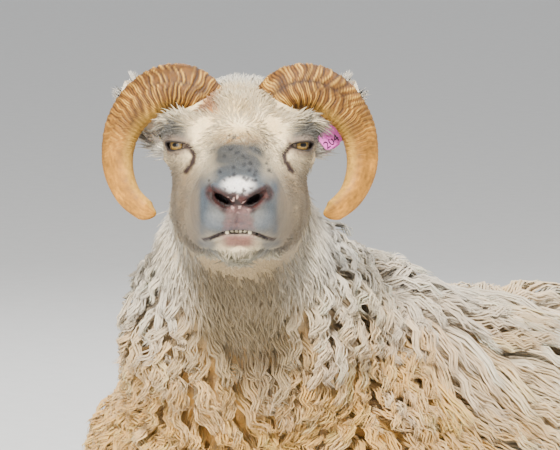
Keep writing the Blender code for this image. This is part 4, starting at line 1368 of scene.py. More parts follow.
def body_unwrap(points: Array) -> Array:
    """Place on a sleeve round the trunk's long axis."""
    turn = np.arctan2(points[:, 0], points[:, 2] - 0.18) / math.tau + 0.5
    return np.stack([0.02 + 0.95 * turn, 0.02 + 0.95 * (points[:, 1] + 0.5) / 1.1], 1)


def head_unwrap(points: Array) -> Array:
    """Place on a sleeve round the head's long axis."""
    local = HEAD.local(points)
    turn = np.arctan2(local[:, 0], local[:, 2] + 0.03) / math.tau + 0.5
    return np.stack([0.02 + 0.95 * turn, np.clip(0.02 + 0.95 * (local[:, 1] + 0.22) / 0.4, 0, 0.99)], 1)


@dataclass
class ShortHair:
    """Short tufts that lean over the skin."""

    rings: int = 3
    thin: float = 0.0004
    broad: float = 0.024

    def tufts(
        self, roots: Array, normals: Array, along: Array, length: Array, stand: Array, colours: Array
    ) -> Tufts:
        """Shapes a tuft at each root.

        Args:
            roots: Places on the skin.
            normals: Outward directions there.
            along: Which way the hair lies.
            length: Length of each tuft.
            stand: How steeply each tuft stands.
            colours: Colour of each tuft.

        Returns:
            The tufts.
        """
        lines = []
        for share in np.linspace(0, 1, self.rings + 1):
            rise = stand[:, None] * (share - 0.45 * share * share) * 1.3
            way = along * share + normals * rise
            lines.append(roots + length[:, None] * way - 0.0012 * normals * (1 - share))
        lines = np.stack(lines, 1)
        ahead = unit(np.gradient(lines, axis=1))
        out = np.repeat(normals[:, None], self.rings + 1, axis=1)
        across = unit(np.cross(ahead, out))
        out = np.cross(across, ahead)
        wide = (self.thin + self.broad * length)[:, None] * np.array([0.8, 1.0, 0.75, 0.1])[None]
        return Tufts(lines, across, out, wide, 0.55 * wide, colours, roots)


@dataclass
class FaceHair(ShortHair):
    """Short hair of the face, cheeks, poll and throat."""

    tries: int = 300000
    most: int = 26000
    whorl: tuple = (0.0, 0.03, 0.02)
    nose: tuple = ((0.0, -0.056), (0.012, -0.0575), (0.02, -0.052), (0.026, -0.046))

    def length(self, local: Array) -> Array:
        """Length of the hair at points in the head's axes.

        Args:
            local: Points of the head.

        Returns:
            One length a point, zero where the skin is bare.
        """
        wide, high = np.abs(local[:, 0]), face_height(local)
        ahead = local[:, 1]
        base = 0.0055 + 0.0075 * ramp(-ahead, -0.06, 0.02)
        base = base + 0.003 * ramp(high, 0.01, 0.045) * bump(wide, 0.0, 0.055)
        base = base + 0.01 * ramp(-local[:, 2], 0.05, 0.09) + 0.003 * ramp(-ahead, 0.04, 0.09)
        base = base - 0.0022 * ramp(ahead, 0.05, 0.085)
        base = base + 0.01 * ramp(-high, 0.095, 0.108) * ramp(ahead, 0.03, 0.07)
        base = base + 0.011 * ramp(wide, 0.044, 0.058) * bump(high, 0.042, 0.032)
        fold = mirrored(local)
        bare = (track(np.stack([wide, high], 1), self.nose) < 0.0075) & (ahead > 0.08)
        lips = FACE.string(fold, FACE.mouth_line, np.full(len(FACE.mouth), 0.0034))
        bare |= (lips < 0) & (ahead > 0.04)
        bare |= (high < -0.088) & (high > -0.1) & (wide < 0.014) & (ahead > 0.08)
        velvet = ramp(ahead, 0.062, 0.084) * ramp(-high, 0.022, 0.03) * ramp(high, -0.104, -0.098)
        bare |= velvet > 0.5 + 0.4 * cloud(local, 0.003, 17)
        bare |= (wide < 0.004) & (high < -0.056) & (high > -0.084) & (ahead > 0.08)
        gap, outside = EYE.gap(fold), EYE.local(fold)[:, 2] > 0
        bare |= (gap < 0.0022) & outside
        near_eye = (1 - ramp(gap, 0.004, 0.016)) * outside
        tear = FACE.string(fold, FACE.tear_line, np.zeros(len(FACE.tear)))
        bare |= tear < 0.003
        near_tear = 1 - ramp(tear, 0.003, 0.012)
        return np.where(bare, 0.0, base * (1 - 0.6 * np.maximum(near_eye, near_tear)))

    def spacing(self, points: Array) -> Array:
        """Room between tufts at points of the model's frame."""
        local = HEAD.local(points)
        length = self.length(local)
        inside = FORM.head(local) < -0.006
        beyond = SKIN.beyond_head(points) > 0.018
        return np.where((length == 0) | inside | beyond, 0.0, 0.0009 + 0.055 * length)

    def lie(self, local: Array, normals: Array) -> Array:
        """Which way the hair lies: away from the whorl between the eyes, and back along the cheeks.

        Args:
            local: Points in the head's axes.
            normals: Outward directions there.

        Returns:
            Unit vectors along the skin.
        """
        away = unit(local - np.array(self.whorl))
        cheek = ramp(np.abs(local[:, 0]), 0.03, 0.06) * ramp(-local[:, 2], -0.01, 0.03)
        rows = np.ones(len(local))
        back = np.stack([0.25 * np.sign(local[:, 0]), -0.7 * rows, -0.6 * rows], 1)
        wanted = away * (1 - cheek)[:, None] + back * cheek[:, None]
        under = ramp(-local[:, 2], 0.06, 0.09)[:, None]
        return square_to(wanted * (1 - under) + np.array([0.0, -0.45, -0.9]) * under, normals)

    def build(self, skin: Pair, material: Material) -> None:
        """Makes the hair in pieces of a bounded size.

        Args:
            skin: Points and quads of the head.
            material: Its finish.
        """
        rng = np.random.default_rng(6)
        roots = scatter(*skin, thinned(self.tries), self.spacing, rng)
        LOG.info("face hair: %d roots", len(roots))
        self.grow(roots[: self.most], rng).pieces("face_coat", Layer.FACE, material, head_unwrap)

    def grow(self, roots: Array, rng: Random) -> Tufts:
        """Grows a tuft from each root.

        Args:
            roots: Places on the head's skin.
            rng: The random source.

        Returns:
            The tufts.
        """
        local = HEAD.local(roots)
        normals = slope(local, FORM.head, 0.002)
        length = self.length(local) * rng.uniform(0.75, 1.3, len(roots))
        along = self.lie(local, normals)
        across = np.cross(along, normals)
        turn = (rng.normal(0, 0.22, len(roots)) + 0.45 * cloud(local, 0.022, 41))[:, None]
        along = along * np.cos(turn) + across * np.sin(turn)
        stand = 0.08 + 0.16 * ramp(length, 0.012, 0.03) + rng.uniform(0, 0.16, len(roots))
        axes = np.stack([HEAD.side, HEAD.ahead, HEAD.up])
        colours = MARKINGS.tint(roots) * rng.uniform(0.74, 1.2, (len(roots), 1))
        return self.tufts(roots, normals @ axes, along @ axes, length, stand, colours)


@dataclass
class NeckHair(ShortHair):
    """Short dense wool of the throat and the neck behind the jaw."""

    tries: int = 260000
    room: float = 0.0023
    broad: float = 0.03

    def spacing(self, points: Array) -> Array:
        """Room between tufts, or zero away from the neck."""
        grows = (plush(points) > 0.3) & (points[:, 1] < 0.1) & (SKIN.beyond_head(points) > -0.012)
        return np.where(grows, self.room, 0.0)

    def build(self, skin: Pair, material: Material) -> None:
        """Makes the wool.

        Args:
            skin: Points and quads of the skin.
            material: Its finish.
        """
        rng = np.random.default_rng(14)
        near = plush(skin[0][skin[1]].mean(axis=1)) > 0.25
        roots = scatter(skin[0], skin[1][near], thinned(self.tries), self.spacing, rng)
        normals = slope(roots, BACK_WOOL.field, 0.003)
        along = BACK_WOOL.lie(roots, normals, rng.uniform(*ANY_ANGLE, len(roots)))
        along = unit(along + rng.normal(0, 0.16, along.shape))
        length = rng.uniform(0.013, 0.021, len(roots)) * (0.8 + 0.5 * ramp(FORM.coat_share(roots), 0.1, 0.6))
        colours = WOOL.tint(roots) * rng.uniform(0.84, 1.08, (len(roots), 1))
        made = self.tufts(roots, normals, along, length, rng.uniform(0.18, 0.4, len(roots)), colours)
        made.pieces("neck_coat", Layer.FLEECE, material, head_unwrap)


@dataclass
class LegHair(ShortHair):
    """Short hair of the folded legs."""

    tries: int = 40000
    room: float = 0.0062
    middle: float = 0.05

    def spacing(self, points: Array) -> Array:
        """Room between tufts, or zero off the legs."""
        near = (FORM.legs(points) < 0.003) & (points[:, 2] > 0.004)
        return np.where(near & (FORM.fleeced(points, SKIN.core) > -0.004), self.room, 0.0)

    def build(self, skin: Pair, material: Material) -> None:
        """Makes the hair.

        Args:
            skin: Points and quads of the skin.
            material: Its finish.
        """
        rng = np.random.default_rng(12)
        roots = scatter(*skin, self.tries, self.spacing, rng)
        normals = slope(roots, FORM.legs, 0.002)
        inwards = np.where(roots[:, 1] < self.middle, 0.6, -0.6)
        wanted = np.stack([0 * inwards, inwards, np.full(len(roots), -0.8)], 1)
        along = square_to(wanted, normals)
        along = unit(along + rng.normal(0, 0.12, along.shape))
        length = rng.uniform(0.009, 0.015, len(roots))
        colours = WOOL.tint(roots) * rng.uniform(0.85, 1.12, (len(roots), 1))
        made = self.tufts(roots, normals, along, length, rng.uniform(0.05, 0.2, len(roots)), colours)
        made.pieces("leg_coat", Layer.FLEECE, material, body_unwrap)


SKIN = Skin()


def smooth_line(knots: tuple, count: int) -> Array:
    """Even points along a Catmull-Rom curve.

    Args:
        knots: Rows of numbers, the first three a place.
        count: How many points.

    Returns:
        The rows along the curve.
    """
    rows = np.array(knots, float)
    padded = np.vstack([2 * rows[0] - rows[1], rows, 2 * rows[-1] - rows[-2]])
    fine = []
    for i in range(1, len(padded) - 2):
        a, b, c, d = padded[i - 1 : i + 3]
        for t in np.linspace(0, 1, 24, endpoint=False):
            bend = (2 * a - 5 * b + 4 * c - d) * t**2 + (3 * b - a - 3 * c + d) * t**3
            fine.append(0.5 * (2 * b + (c - a) * t + bend))
    fine = np.array(fine + [rows[-1]])
    run = np.concatenate([[0], np.cumsum(np.linalg.norm(np.diff(fine[:, :3], axis=0), axis=1))])
    even = np.linspace(0, run[-1], count)
    return np.stack([np.interp(even, run, column) for column in fine.T], 1)


def ring_faces(rings: int, sides: int) -> Array:
    """Quads of a tube of rings.

    Args:
        rings: How many rings.
        sides: Points in each.

    Returns:
        Rows of four point numbers.
    """
    r, s = np.meshgrid(np.arange(rings - 1), np.arange(sides), indexing="ij")
    t = (s + 1) % sides
    faces = np.stack([r * sides + s, r * sides + t, (r + 1) * sides + t, (r + 1) * sides + s], -1)
    return faces.reshape(-1, 4)


@dataclass
class Horn:
    """One curled horn with growth rings that fade towards a blunt tip."""

    name: str
    hand: int
    rings: int = 420
    sides: int = 44
    keel_turn: float = 1.15
    eye_of_curl: tuple = (0.075, 0.045, -0.01)
    root: tuple = (104, 66, 20)
    end: tuple = (170, 116, 38)
    groove: tuple = (46, 26, 10)
    crest: tuple = (228, 180, 84)
    strip: tuple = (222, 178, 88)
    crack: tuple = (52, 32, 20)
    line: tuple = (
        (0.016, 0.041, 0.014, 0.0185),
        (0.03, 0.04, 0.036, 0.02),
        (0.05, 0.04, 0.053, 0.0215),
        (0.074, 0.044, 0.054, 0.022),
        (0.098, 0.05, 0.04, 0.0208),
        (0.1155, 0.056, 0.017, 0.018),
        (0.1225, 0.057, -0.008, 0.0158),
        (0.1215, 0.052, -0.031, 0.0143),
        (0.112, 0.043, -0.053, 0.0122),
        (0.096, 0.034, -0.067, 0.0105),
        (0.0845, 0.028, -0.072, 0.0085),
    )

    def relief(self, run: Array, turn: Array) -> Pair:
        """Height and age lines of the horn's surface.

        Args:
            run: Share of the length from the base.
            turn: Angle round the horn.

        Returns:
            Relief in metres, and a value from groove to crest of -1 to 1.
        """
        seed = 2.0 * self.hand
        fold = np.abs(np.sin((turn - self.keel_turn) / 2)) ** 0.8
        wander = 0.05 * fold * ramp(run, 0.05, 0.45) + 0.004 * np.sin(5 * turn + 9 * run + seed)
        age = run - wander + 0.003 * np.sin(37 * run + 3 * turn) + 0.002 * np.sin(90 * run + 7 * turn + seed)
        coarse = np.sin(math.tau * (34 * age + 1.3 * np.sin(7 * run + seed) + 0.5 * np.sin(23 * run)))
        fine = np.sin(math.tau * (95 * age + 1.6 * np.sin(19 * run + seed)) + 1.2 * np.sin(4 * turn))
        young = 1 - ramp(run, 0.42, 0.8)
        height = young * (0.00042 * coarse + 0.0003 * fine) + 0.00008 * fine
        return height, (0.5 * coarse + 0.55 * fine) * (0.25 + 0.75 * young)

    def colours(self, points: Array, run: Array, turn: Array, mark: Array, keel: Array) -> Array:
        """Colours of the horn's surface.

        Args:
            points: Its points, ring by ring.
            run: Share of the length from the base.
            turn: Angle round the horn.
            mark: From groove to crest, of -1 to 1.
            keel: How near the crack along the keel is, of 0 to 1.

        Returns:
            Linear colours, ring by ring.
        """
        shape = points.shape[:2]
        patch = cloud(points.reshape(-1, 3), 0.018, 51).reshape(shape)[..., None]
        whole = np.ones(shape)
        veins = np.stack([14 * run * whole, 3 * np.cos(turn) * whole, 3 * np.sin(turn) * whole], -1)
        grain = cloud(veins.reshape(-1, 3), 0.55, 52 + self.hand).reshape(shape)[..., None]
        old = (1 - ramp(run, 0.35, 0.85))[..., None]
        inner = (ramp(-np.cos(turn), 0.35, 0.9) * whole)[..., None]
        colour = blend(paint(*self.end), self.root, old)
        colour = colour * (1 + 0.28 * patch) * (1 + 0.22 * grain)
        colour = blend(colour, self.groove, 0.88 * ramp(-mark, 0.15, 0.85)[..., None] * (0.45 + 0.55 * old))
        pale = 0.72 * ramp(mark, 0.15, 0.85)[..., None] * (0.35 + 0.65 * old) * (0.7 + 0.5 * patch)
        colour = blend(colour, self.crest, pale)
        colour = blend(colour, self.strip, 0.55 * inner * ramp(run, 0.25, 0.45)[..., None])
        return blend(colour, self.crack, 0.8 * keel[..., None])

    def build(self, material: Material) -> Piece:
        """Makes the horn.

        Args:
            material: Its finish.

        Returns:
            The piece.
        """
        line = smooth_line(self.line, self.rings)
        spots = line[:, :3] * np.array([self.hand, 1, 1])
        centres = HEAD.beside(spots)
        middle = HEAD.beside(np.array([self.eye_of_curl]) * np.array([self.hand, 1, 1]))[0]
        ahead = unit(np.gradient(centres, axis=0))
        out = square_to(centres - middle, ahead)
        across = np.cross(ahead, out) * self.hand
        run = np.linspace(0, 1, self.rings)[:, None]
        turn = np.linspace(0, math.tau, self.sides, endpoint=False)[None]
        height, mark = self.relief(run, turn)
        end = np.sqrt(np.clip((1 - run) / 0.05, 0.0, 1))
        radius = line[:, 3:4] * end * (1 + 0.07 * np.cos(3 * turn) + 0.05 * np.cos(2 * turn))
        from_keel = (turn - self.keel_turn + math.pi) % math.tau - math.pi
        keel = bump(from_keel, 0.0, 0.15) * bump(run, 0.28, 0.2) * (0.7 + 0.3 * self.hand)
        radius = radius + height * end - 0.0011 * keel
        spoke = np.cos(turn)[..., None] * out[:, None] + 0.92 * np.sin(turn)[..., None] * across[:, None]
        points = centres[:, None] + radius[..., None] * spoke
        points[0] = centres[0]
        points[-1] = centres[-1]
        faces = ring_faces(self.rings, self.sides)[:, :: self.hand]
        piece = new_piece(self.name, points.reshape(-1, 3), faces, material)
        colours = self.colours(points, run, turn, mark, keel)
        put_tint(piece, np.clip(colours.reshape(-1, 3), 0, 1))
        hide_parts(self.name.replace("_sheath", ""))
        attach(piece, "root")
        return piece


def horn_finish() -> Material:
    """Horn: ring colours with fine grain and a dull gloss."""
    finish = Finish("ringed_horn", 0.46)
    place = finish.place()
    grain = finish.noise(place, 260.0, 5.0)
    first = finish.shade(finish.tint(), finish.vary(grain, 0.8, 1.16))
    finish.colour_by(first, finish.vary(finish.noise(place, 60.0), 0.88, 1.1))
    finish.link(finish.vary(grain, 0.52, 0.74), finish.shader.inputs["Roughness"])
    finish.raise_by(grain, 0.0009, 0.8)
    finish.set(Specular_IOR_Level=0.35)
    return finish.made


@dataclass
class EyeBall:
    """One eye with an amber iris and a level dark pupil."""

    name: str
    hand: int
    sides: int = 90
    rings: int = 90
    iris: float = 0.54
    pupil: tuple = (0.27, 0.15)
    amber: tuple = (138, 108, 50)
    ring: tuple = (58, 36, 18)
    white: tuple = (150, 128, 108)
    black: tuple = (10, 9, 12)

    def colours(self, shape: Array) -> Array:
        """Colours over a ball of radius one that looks along its third axis."""
        x, y, out = shape.T
        spread, angle = np.hypot(x, y), np.arctan2(y, x)
        ray = cloud(np.stack([np.cos(angle), np.sin(angle), 0 * x], 1), 0.16, 61)
        colour = paint(*self.amber) * (1 + 0.25 * ray)[:, None]
        colour = blend(colour, self.ring, ramp(spread, self.iris * 0.78, self.iris)[:, None])
        colour = blend(colour, self.white, ramp(spread, self.iris, self.iris * 1.12)[:, None])
        far = (np.abs(x / self.pupil[0]) ** 3 + np.abs(y / self.pupil[1]) ** 3) ** (1 / 3)
        return blend(colour, self.black, ((1 - ramp(far, 0.85, 1.1)) * (out > 0))[:, None])

    def build(self, material: Material) -> Piece:
        """Makes the eyeball with a slightly raised cornea.

        Args:
            material: Its finish.

        Returns:
            The piece.
        """
        tilt = np.linspace(0, math.pi, self.rings)[:, None]
        turn = np.linspace(0, math.tau, self.sides, endpoint=False)[None]
        level = np.cos(tilt) * np.ones_like(turn)
        shape = np.stack([np.sin(tilt) * np.cos(turn), np.sin(tilt) * np.sin(turn), level], -1)
        swell = 1 + 0.025 * (1 - ramp(tilt, 0.0, 0.62))
        radius = (EYE.radius * 0.985) * swell[..., None]
        local = np.array(EYE.place) + (shape * radius).reshape(-1, 3) @ EYE.axes()
        local = local * np.array([self.hand, 1, 1])
        faces = ring_faces(self.rings, self.sides)[:, :: self.hand]
        piece = new_piece(self.name, HEAD.world(local), faces, material)
        put_tint(piece, np.clip(self.colours(shape.reshape(-1, 3)), 0, 1))
        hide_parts(self.name.replace("ball", ""))
        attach(piece, "root")
        return piece


def eye_finish() -> Material:
    """A wet eye under a clear coat."""
    finish = Finish("wet_eye", 0.22)
    finish.colour_by(finish.tint(), finish.vary(finish.noise(finish.place(), 900.0), 0.85, 1.15))
    finish.set(Coat_Weight=0.45, Coat_Roughness=0.02, Specular_IOR_Level=0.2)
    return finish.made


@dataclass
class EarShell:
    """One leaf-shaped ear, hollowed in front, with hair along it."""

    name: str
    hand: int
    rings: int = 40
    sides: int = 22
    wall: float = 0.003
    tufts: int = 1800
    tag_room: float = 0.017
    facing: tuple = (0.35, -0.75, -0.35)
    outside: tuple = (236, 224, 206)
    inside: tuple = (240, 224, 202)
    hairs: tuple = (248, 240, 224)
    line: tuple = (
        (0.058, 0.05, -0.004, 0.014),
        (0.074, 0.062, 0.006, 0.019),
        (0.09, 0.078, 0.024, 0.023),
        (0.105, 0.09, 0.041, 0.019),
        (0.1135, 0.096, 0.0525, 0.0105),
    )
    tip: tuple = (0.1175, 0.0985, 0.058, 0.0)

    def frame(self) -> tuple[Array, Array, Array, Array, Array]:
        """Middle line, half widths and directions of the ear."""
        line = smooth_line(self.line + (self.tip,), self.rings)
        centres = HEAD.beside(line[:, :3] * np.array([self.hand, 1, 1]))
        ahead = unit(np.gradient(centres, axis=0))
        way = HEAD.beside(np.array([self.facing]) * np.array([self.hand, 1, 1]))[0] - np.array(HEAD.middle)
        front = unit(way - ahead * (ahead @ way)[:, None])
        across = np.cross(ahead, front)
        return centres, line[:, 3], ahead, front, across

    def cup(self, half: Array, run: Array) -> Array:
        """Depth of the ear's hollow at a half width and a share of the length."""
        return 0.75 * half * np.minimum(1.0, 0.35 + 2.0 * run)

    def build(self, material: Material) -> Piece:
        """Makes the ear's shell.

        Args:
            material: Its finish.

        Returns:
            The piece.
        """
        centres, half, _, front, across = self.frame()
        run = np.arange(self.rings)[:, None] / self.rings
        t = np.linspace(-1, 1, self.sides + 1)[None]
        half = half[:, None] * 0.96
        inner = centres[:, None] + across[:, None] * (half * t)[..., None]
        inner = inner + front[:, None] * (self.cup(half, run) * (t * t - 0.5))[..., None]
        thick = self.wall * (1 - 0.75 * t * t) * np.minimum(1, half / 0.008)
        outer = inner - front[:, None] * thick[..., None]
        points = np.concatenate([inner, outer[:, ::-1]], axis=1)
        points[-1] = points[-1].mean(axis=0)
        points[0] = points[0].mean(axis=0)
        faces = ring_faces(self.rings, points.shape[1])
        piece = new_piece(self.name, points.reshape(-1, 3), faces, material)
        pink = np.zeros(points.shape[:2])
        pink[:, : self.sides + 1] = (1 - np.abs(t) ** 2) * 0.8
        put_tint(piece, blend(paint(*self.outside), self.inside, pink.reshape(-1, 1)))
        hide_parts(self.name.replace("_shell", ""))
        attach(piece, "root")
        return piece

    def hair(self) -> Tufts:
        """Grows the ear's hair: long and pale along its rims, short over its back.

        Returns:
            The tufts.
        """
        rng = np.random.default_rng(70 + self.hand)
        centres, half, ahead, front, across = self.frame()
        count = self.tufts
        place = rng.uniform(0.02, 0.93, count) * (self.rings - 1)
        low = place.astype(int)
        t = np.clip(rng.normal(0, 0.75, count), -1, 1)
        t = np.where(rng.random(count) < 0.45, np.sign(t) * 0.98, t)
        centre, wide, along, face, side = (part[low] for part in (centres, half, ahead, front, across))
        back = rng.random(count) < 0.62
        sunk = self.cup(wide, place / self.rings) * (t * t - 0.5) - 0.002 * back
        root = centre + side * (0.95 * wide * t)[:, None] + face * sunk[:, None]
        normal = unit(np.where(back[:, None], -face, face) + side * (0.8 * t)[:, None])
        low_edge = (t * side[:, 2] < -0.35) & (place / self.rings < 0.55)
        length = 0.007 + 0.004 * np.abs(t) ** 3 + 0.003 * rng.random(count) + 0.012 * low_edge
        way = unit(along + 0.25 * side * t[:, None] + rng.normal(0, 0.15, (count, 3)))
        colours = paint(*self.hairs) * rng.uniform(0.88, 1.05, (count, 1))
        tag = HEAD.beside(np.array([EarTag.place]))[0]
        keep = np.linalg.norm(root - tag, axis=1) > self.tag_room
        rows = [part[keep] for part in (root, normal, way, length, np.full(count, 0.25), colours)]
        return ShortHair().tufts(*rows)


@dataclass
class EarTag:
    """Two pink plastic panels on the left ear, joined by a stud, with plain figures."""

    place: tuple = (0.0905, 0.066, 0.003)
    slant: float = math.radians(37)
    size: tuple = (0.021, 0.021, 0.002)
    back_shift: tuple = (-0.002, 0.0315, -0.008)
    outline: tuple = (
        (-0.34, 0.5), (-0.5, 0.34), (-0.5, -0.36), (-0.36, -0.5),
        (0.42, -0.5), (0.5, -0.42), (0.5, 0.34), (0.3, 0.5),
    )
    edge: float = 0.0004
    stud_sides: int = 24
    stud_profile: tuple = (
        (0.0, 0.0), (0.0, 0.0018), (0.0005, 0.0025), (0.0016, 0.0025),
        (0.0018, 0.0022), (0.034, 0.0022), (0.034, 0.0),
    )
    figures: str = "204"
    figure_size: float = 0.0112
    figure_place: tuple = (-0.001, -0.005)

    def axes(self) -> Pair:
        """Along and over the panel."""
        up = np.array([0, 0, 1.0])
        along = math.cos(self.slant) * HEAD.side + math.sin(self.slant) * up
        return along, math.cos(self.slant) * up - math.sin(self.slant) * HEAD.side

    def panel(self, name: str, middle: Array, tall: float, material: Material) -> Piece:
        """Makes one bevelled panel.

        Args:
            name: The piece's name.
            middle: Its middle.
            tall: Its height.
            material: Its finish.

        Returns:
            The piece.
        """
        along, over = self.axes()
        wide, _, thick = self.size
        mesh = bpy.data.meshes.new(name)
        points = []
        for depth in (0.5, -0.5):
            for a, b in self.outline:
                points.append(tuple(middle + wide * a * along + tall * b * over + thick * depth * HEAD.level))
        count = len(self.outline)
        sides = [((i + 1) % count, i, count + i, count + (i + 1) % count) for i in range(count)]
        mesh.from_pydata(points, [], [tuple(range(count)), tuple(range(count, 2 * count))[::-1]] + sides)
        mesh.materials.append(material)
        piece = add_object(name, mesh)
        bevel = piece.modifiers.new("edge", "BEVEL")
        bevel.width, bevel.segments = self.edge, 3
        return settle(piece)

    def build(self, material: Material, ink: Material) -> None:
        """Makes the panels, the stud and the figures.

        Args:
            material: The plastic.
            ink: The figures' colour.
        """
        front = HEAD.beside(np.array([self.place]))[0]
        rear = HEAD.beside(np.array([np.array(self.place) + np.array(self.back_shift)]))[0]
        pieces = [self.panel("tag_front", front, self.size[1], material)]
        pieces.append(self.panel("tag_rear", rear, self.size[1] * 0.9, material))
        for piece in pieces:
            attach(piece, "root")
        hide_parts("ear_tag")
        self.stud(front, rear, material)
        self.print_figures(front, ink)

    def stud(self, front: Array, rear: Array, material: Material) -> None:
        """Makes the stud between the panels with its round head."""
        way = unit(rear - front)
        side = unit(np.cross(way, [0, 0, 1.0]))
        over = np.cross(side, way)
        start = front - way * 0.0022
        turn = np.linspace(0, math.tau, self.stud_sides, endpoint=False)[None]
        run, radius = np.array(self.stud_profile).T[:, :, None]
        spoke = np.cos(turn)[..., None] * side + np.sin(turn)[..., None] * over
        points = (start + run[..., None] * way + radius[..., None] * spoke).reshape(-1, 3)
        faces = ring_faces(len(self.stud_profile), self.stud_sides)[:, ::-1]
        piece = new_piece("tag_stud", points, faces, material)
        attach(piece, "root")

    def print_figures(self, front: Array, ink: Material) -> None:
        """Sets the figures along the panel's lower edge."""
        curve = bpy.data.curves.new("figures", "FONT")
        curve.body, curve.size, curve.extrude = self.figures, self.figure_size, 0.00018
        curve.align_x, curve.align_y = "CENTER", "CENTER"
        text = add_object("figures_text", curve)
        mesh = plain_mesh(text)
        bpy.data.objects.remove(text, do_unlink=True)
        along, over = self.axes()
        spot = front + HEAD.level * (self.size[2] * 0.5 + 0.00012)
        spot = spot + self.figure_place[1] * over + self.figure_place[0] * along
        turn = Matrix([[along[i], over[i], HEAD.level[i], spot[i]] for i in range(3)] + [[0, 0, 0, 1]])
        mesh.transform(turn)
        mesh.materials.clear()
        mesh.materials.append(ink)
        piece = add_object("tag_figures", mesh)
        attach(piece, "root")


@dataclass(frozen=True)
class PlainFinish:
    """A plain material with a slight grain."""

    name: str
    colour: tuple
    roughness: float
    scale: float = 300.0
    relief: float = 0.0002
    change: float = 0.1

    def make(self) -> Material:
        """Builds the material."""
        finish = Finish(self.name, self.roughness)
        grain = finish.noise(finish.place(), self.scale, 4.0)
        level = finish.vary(grain, 1 - self.change, 1 + self.change)
        finish.colour_by(finish.flat(paint(*self.colour)), level)
        finish.raise_by(grain, self.relief, 0.6)
        return finish.made


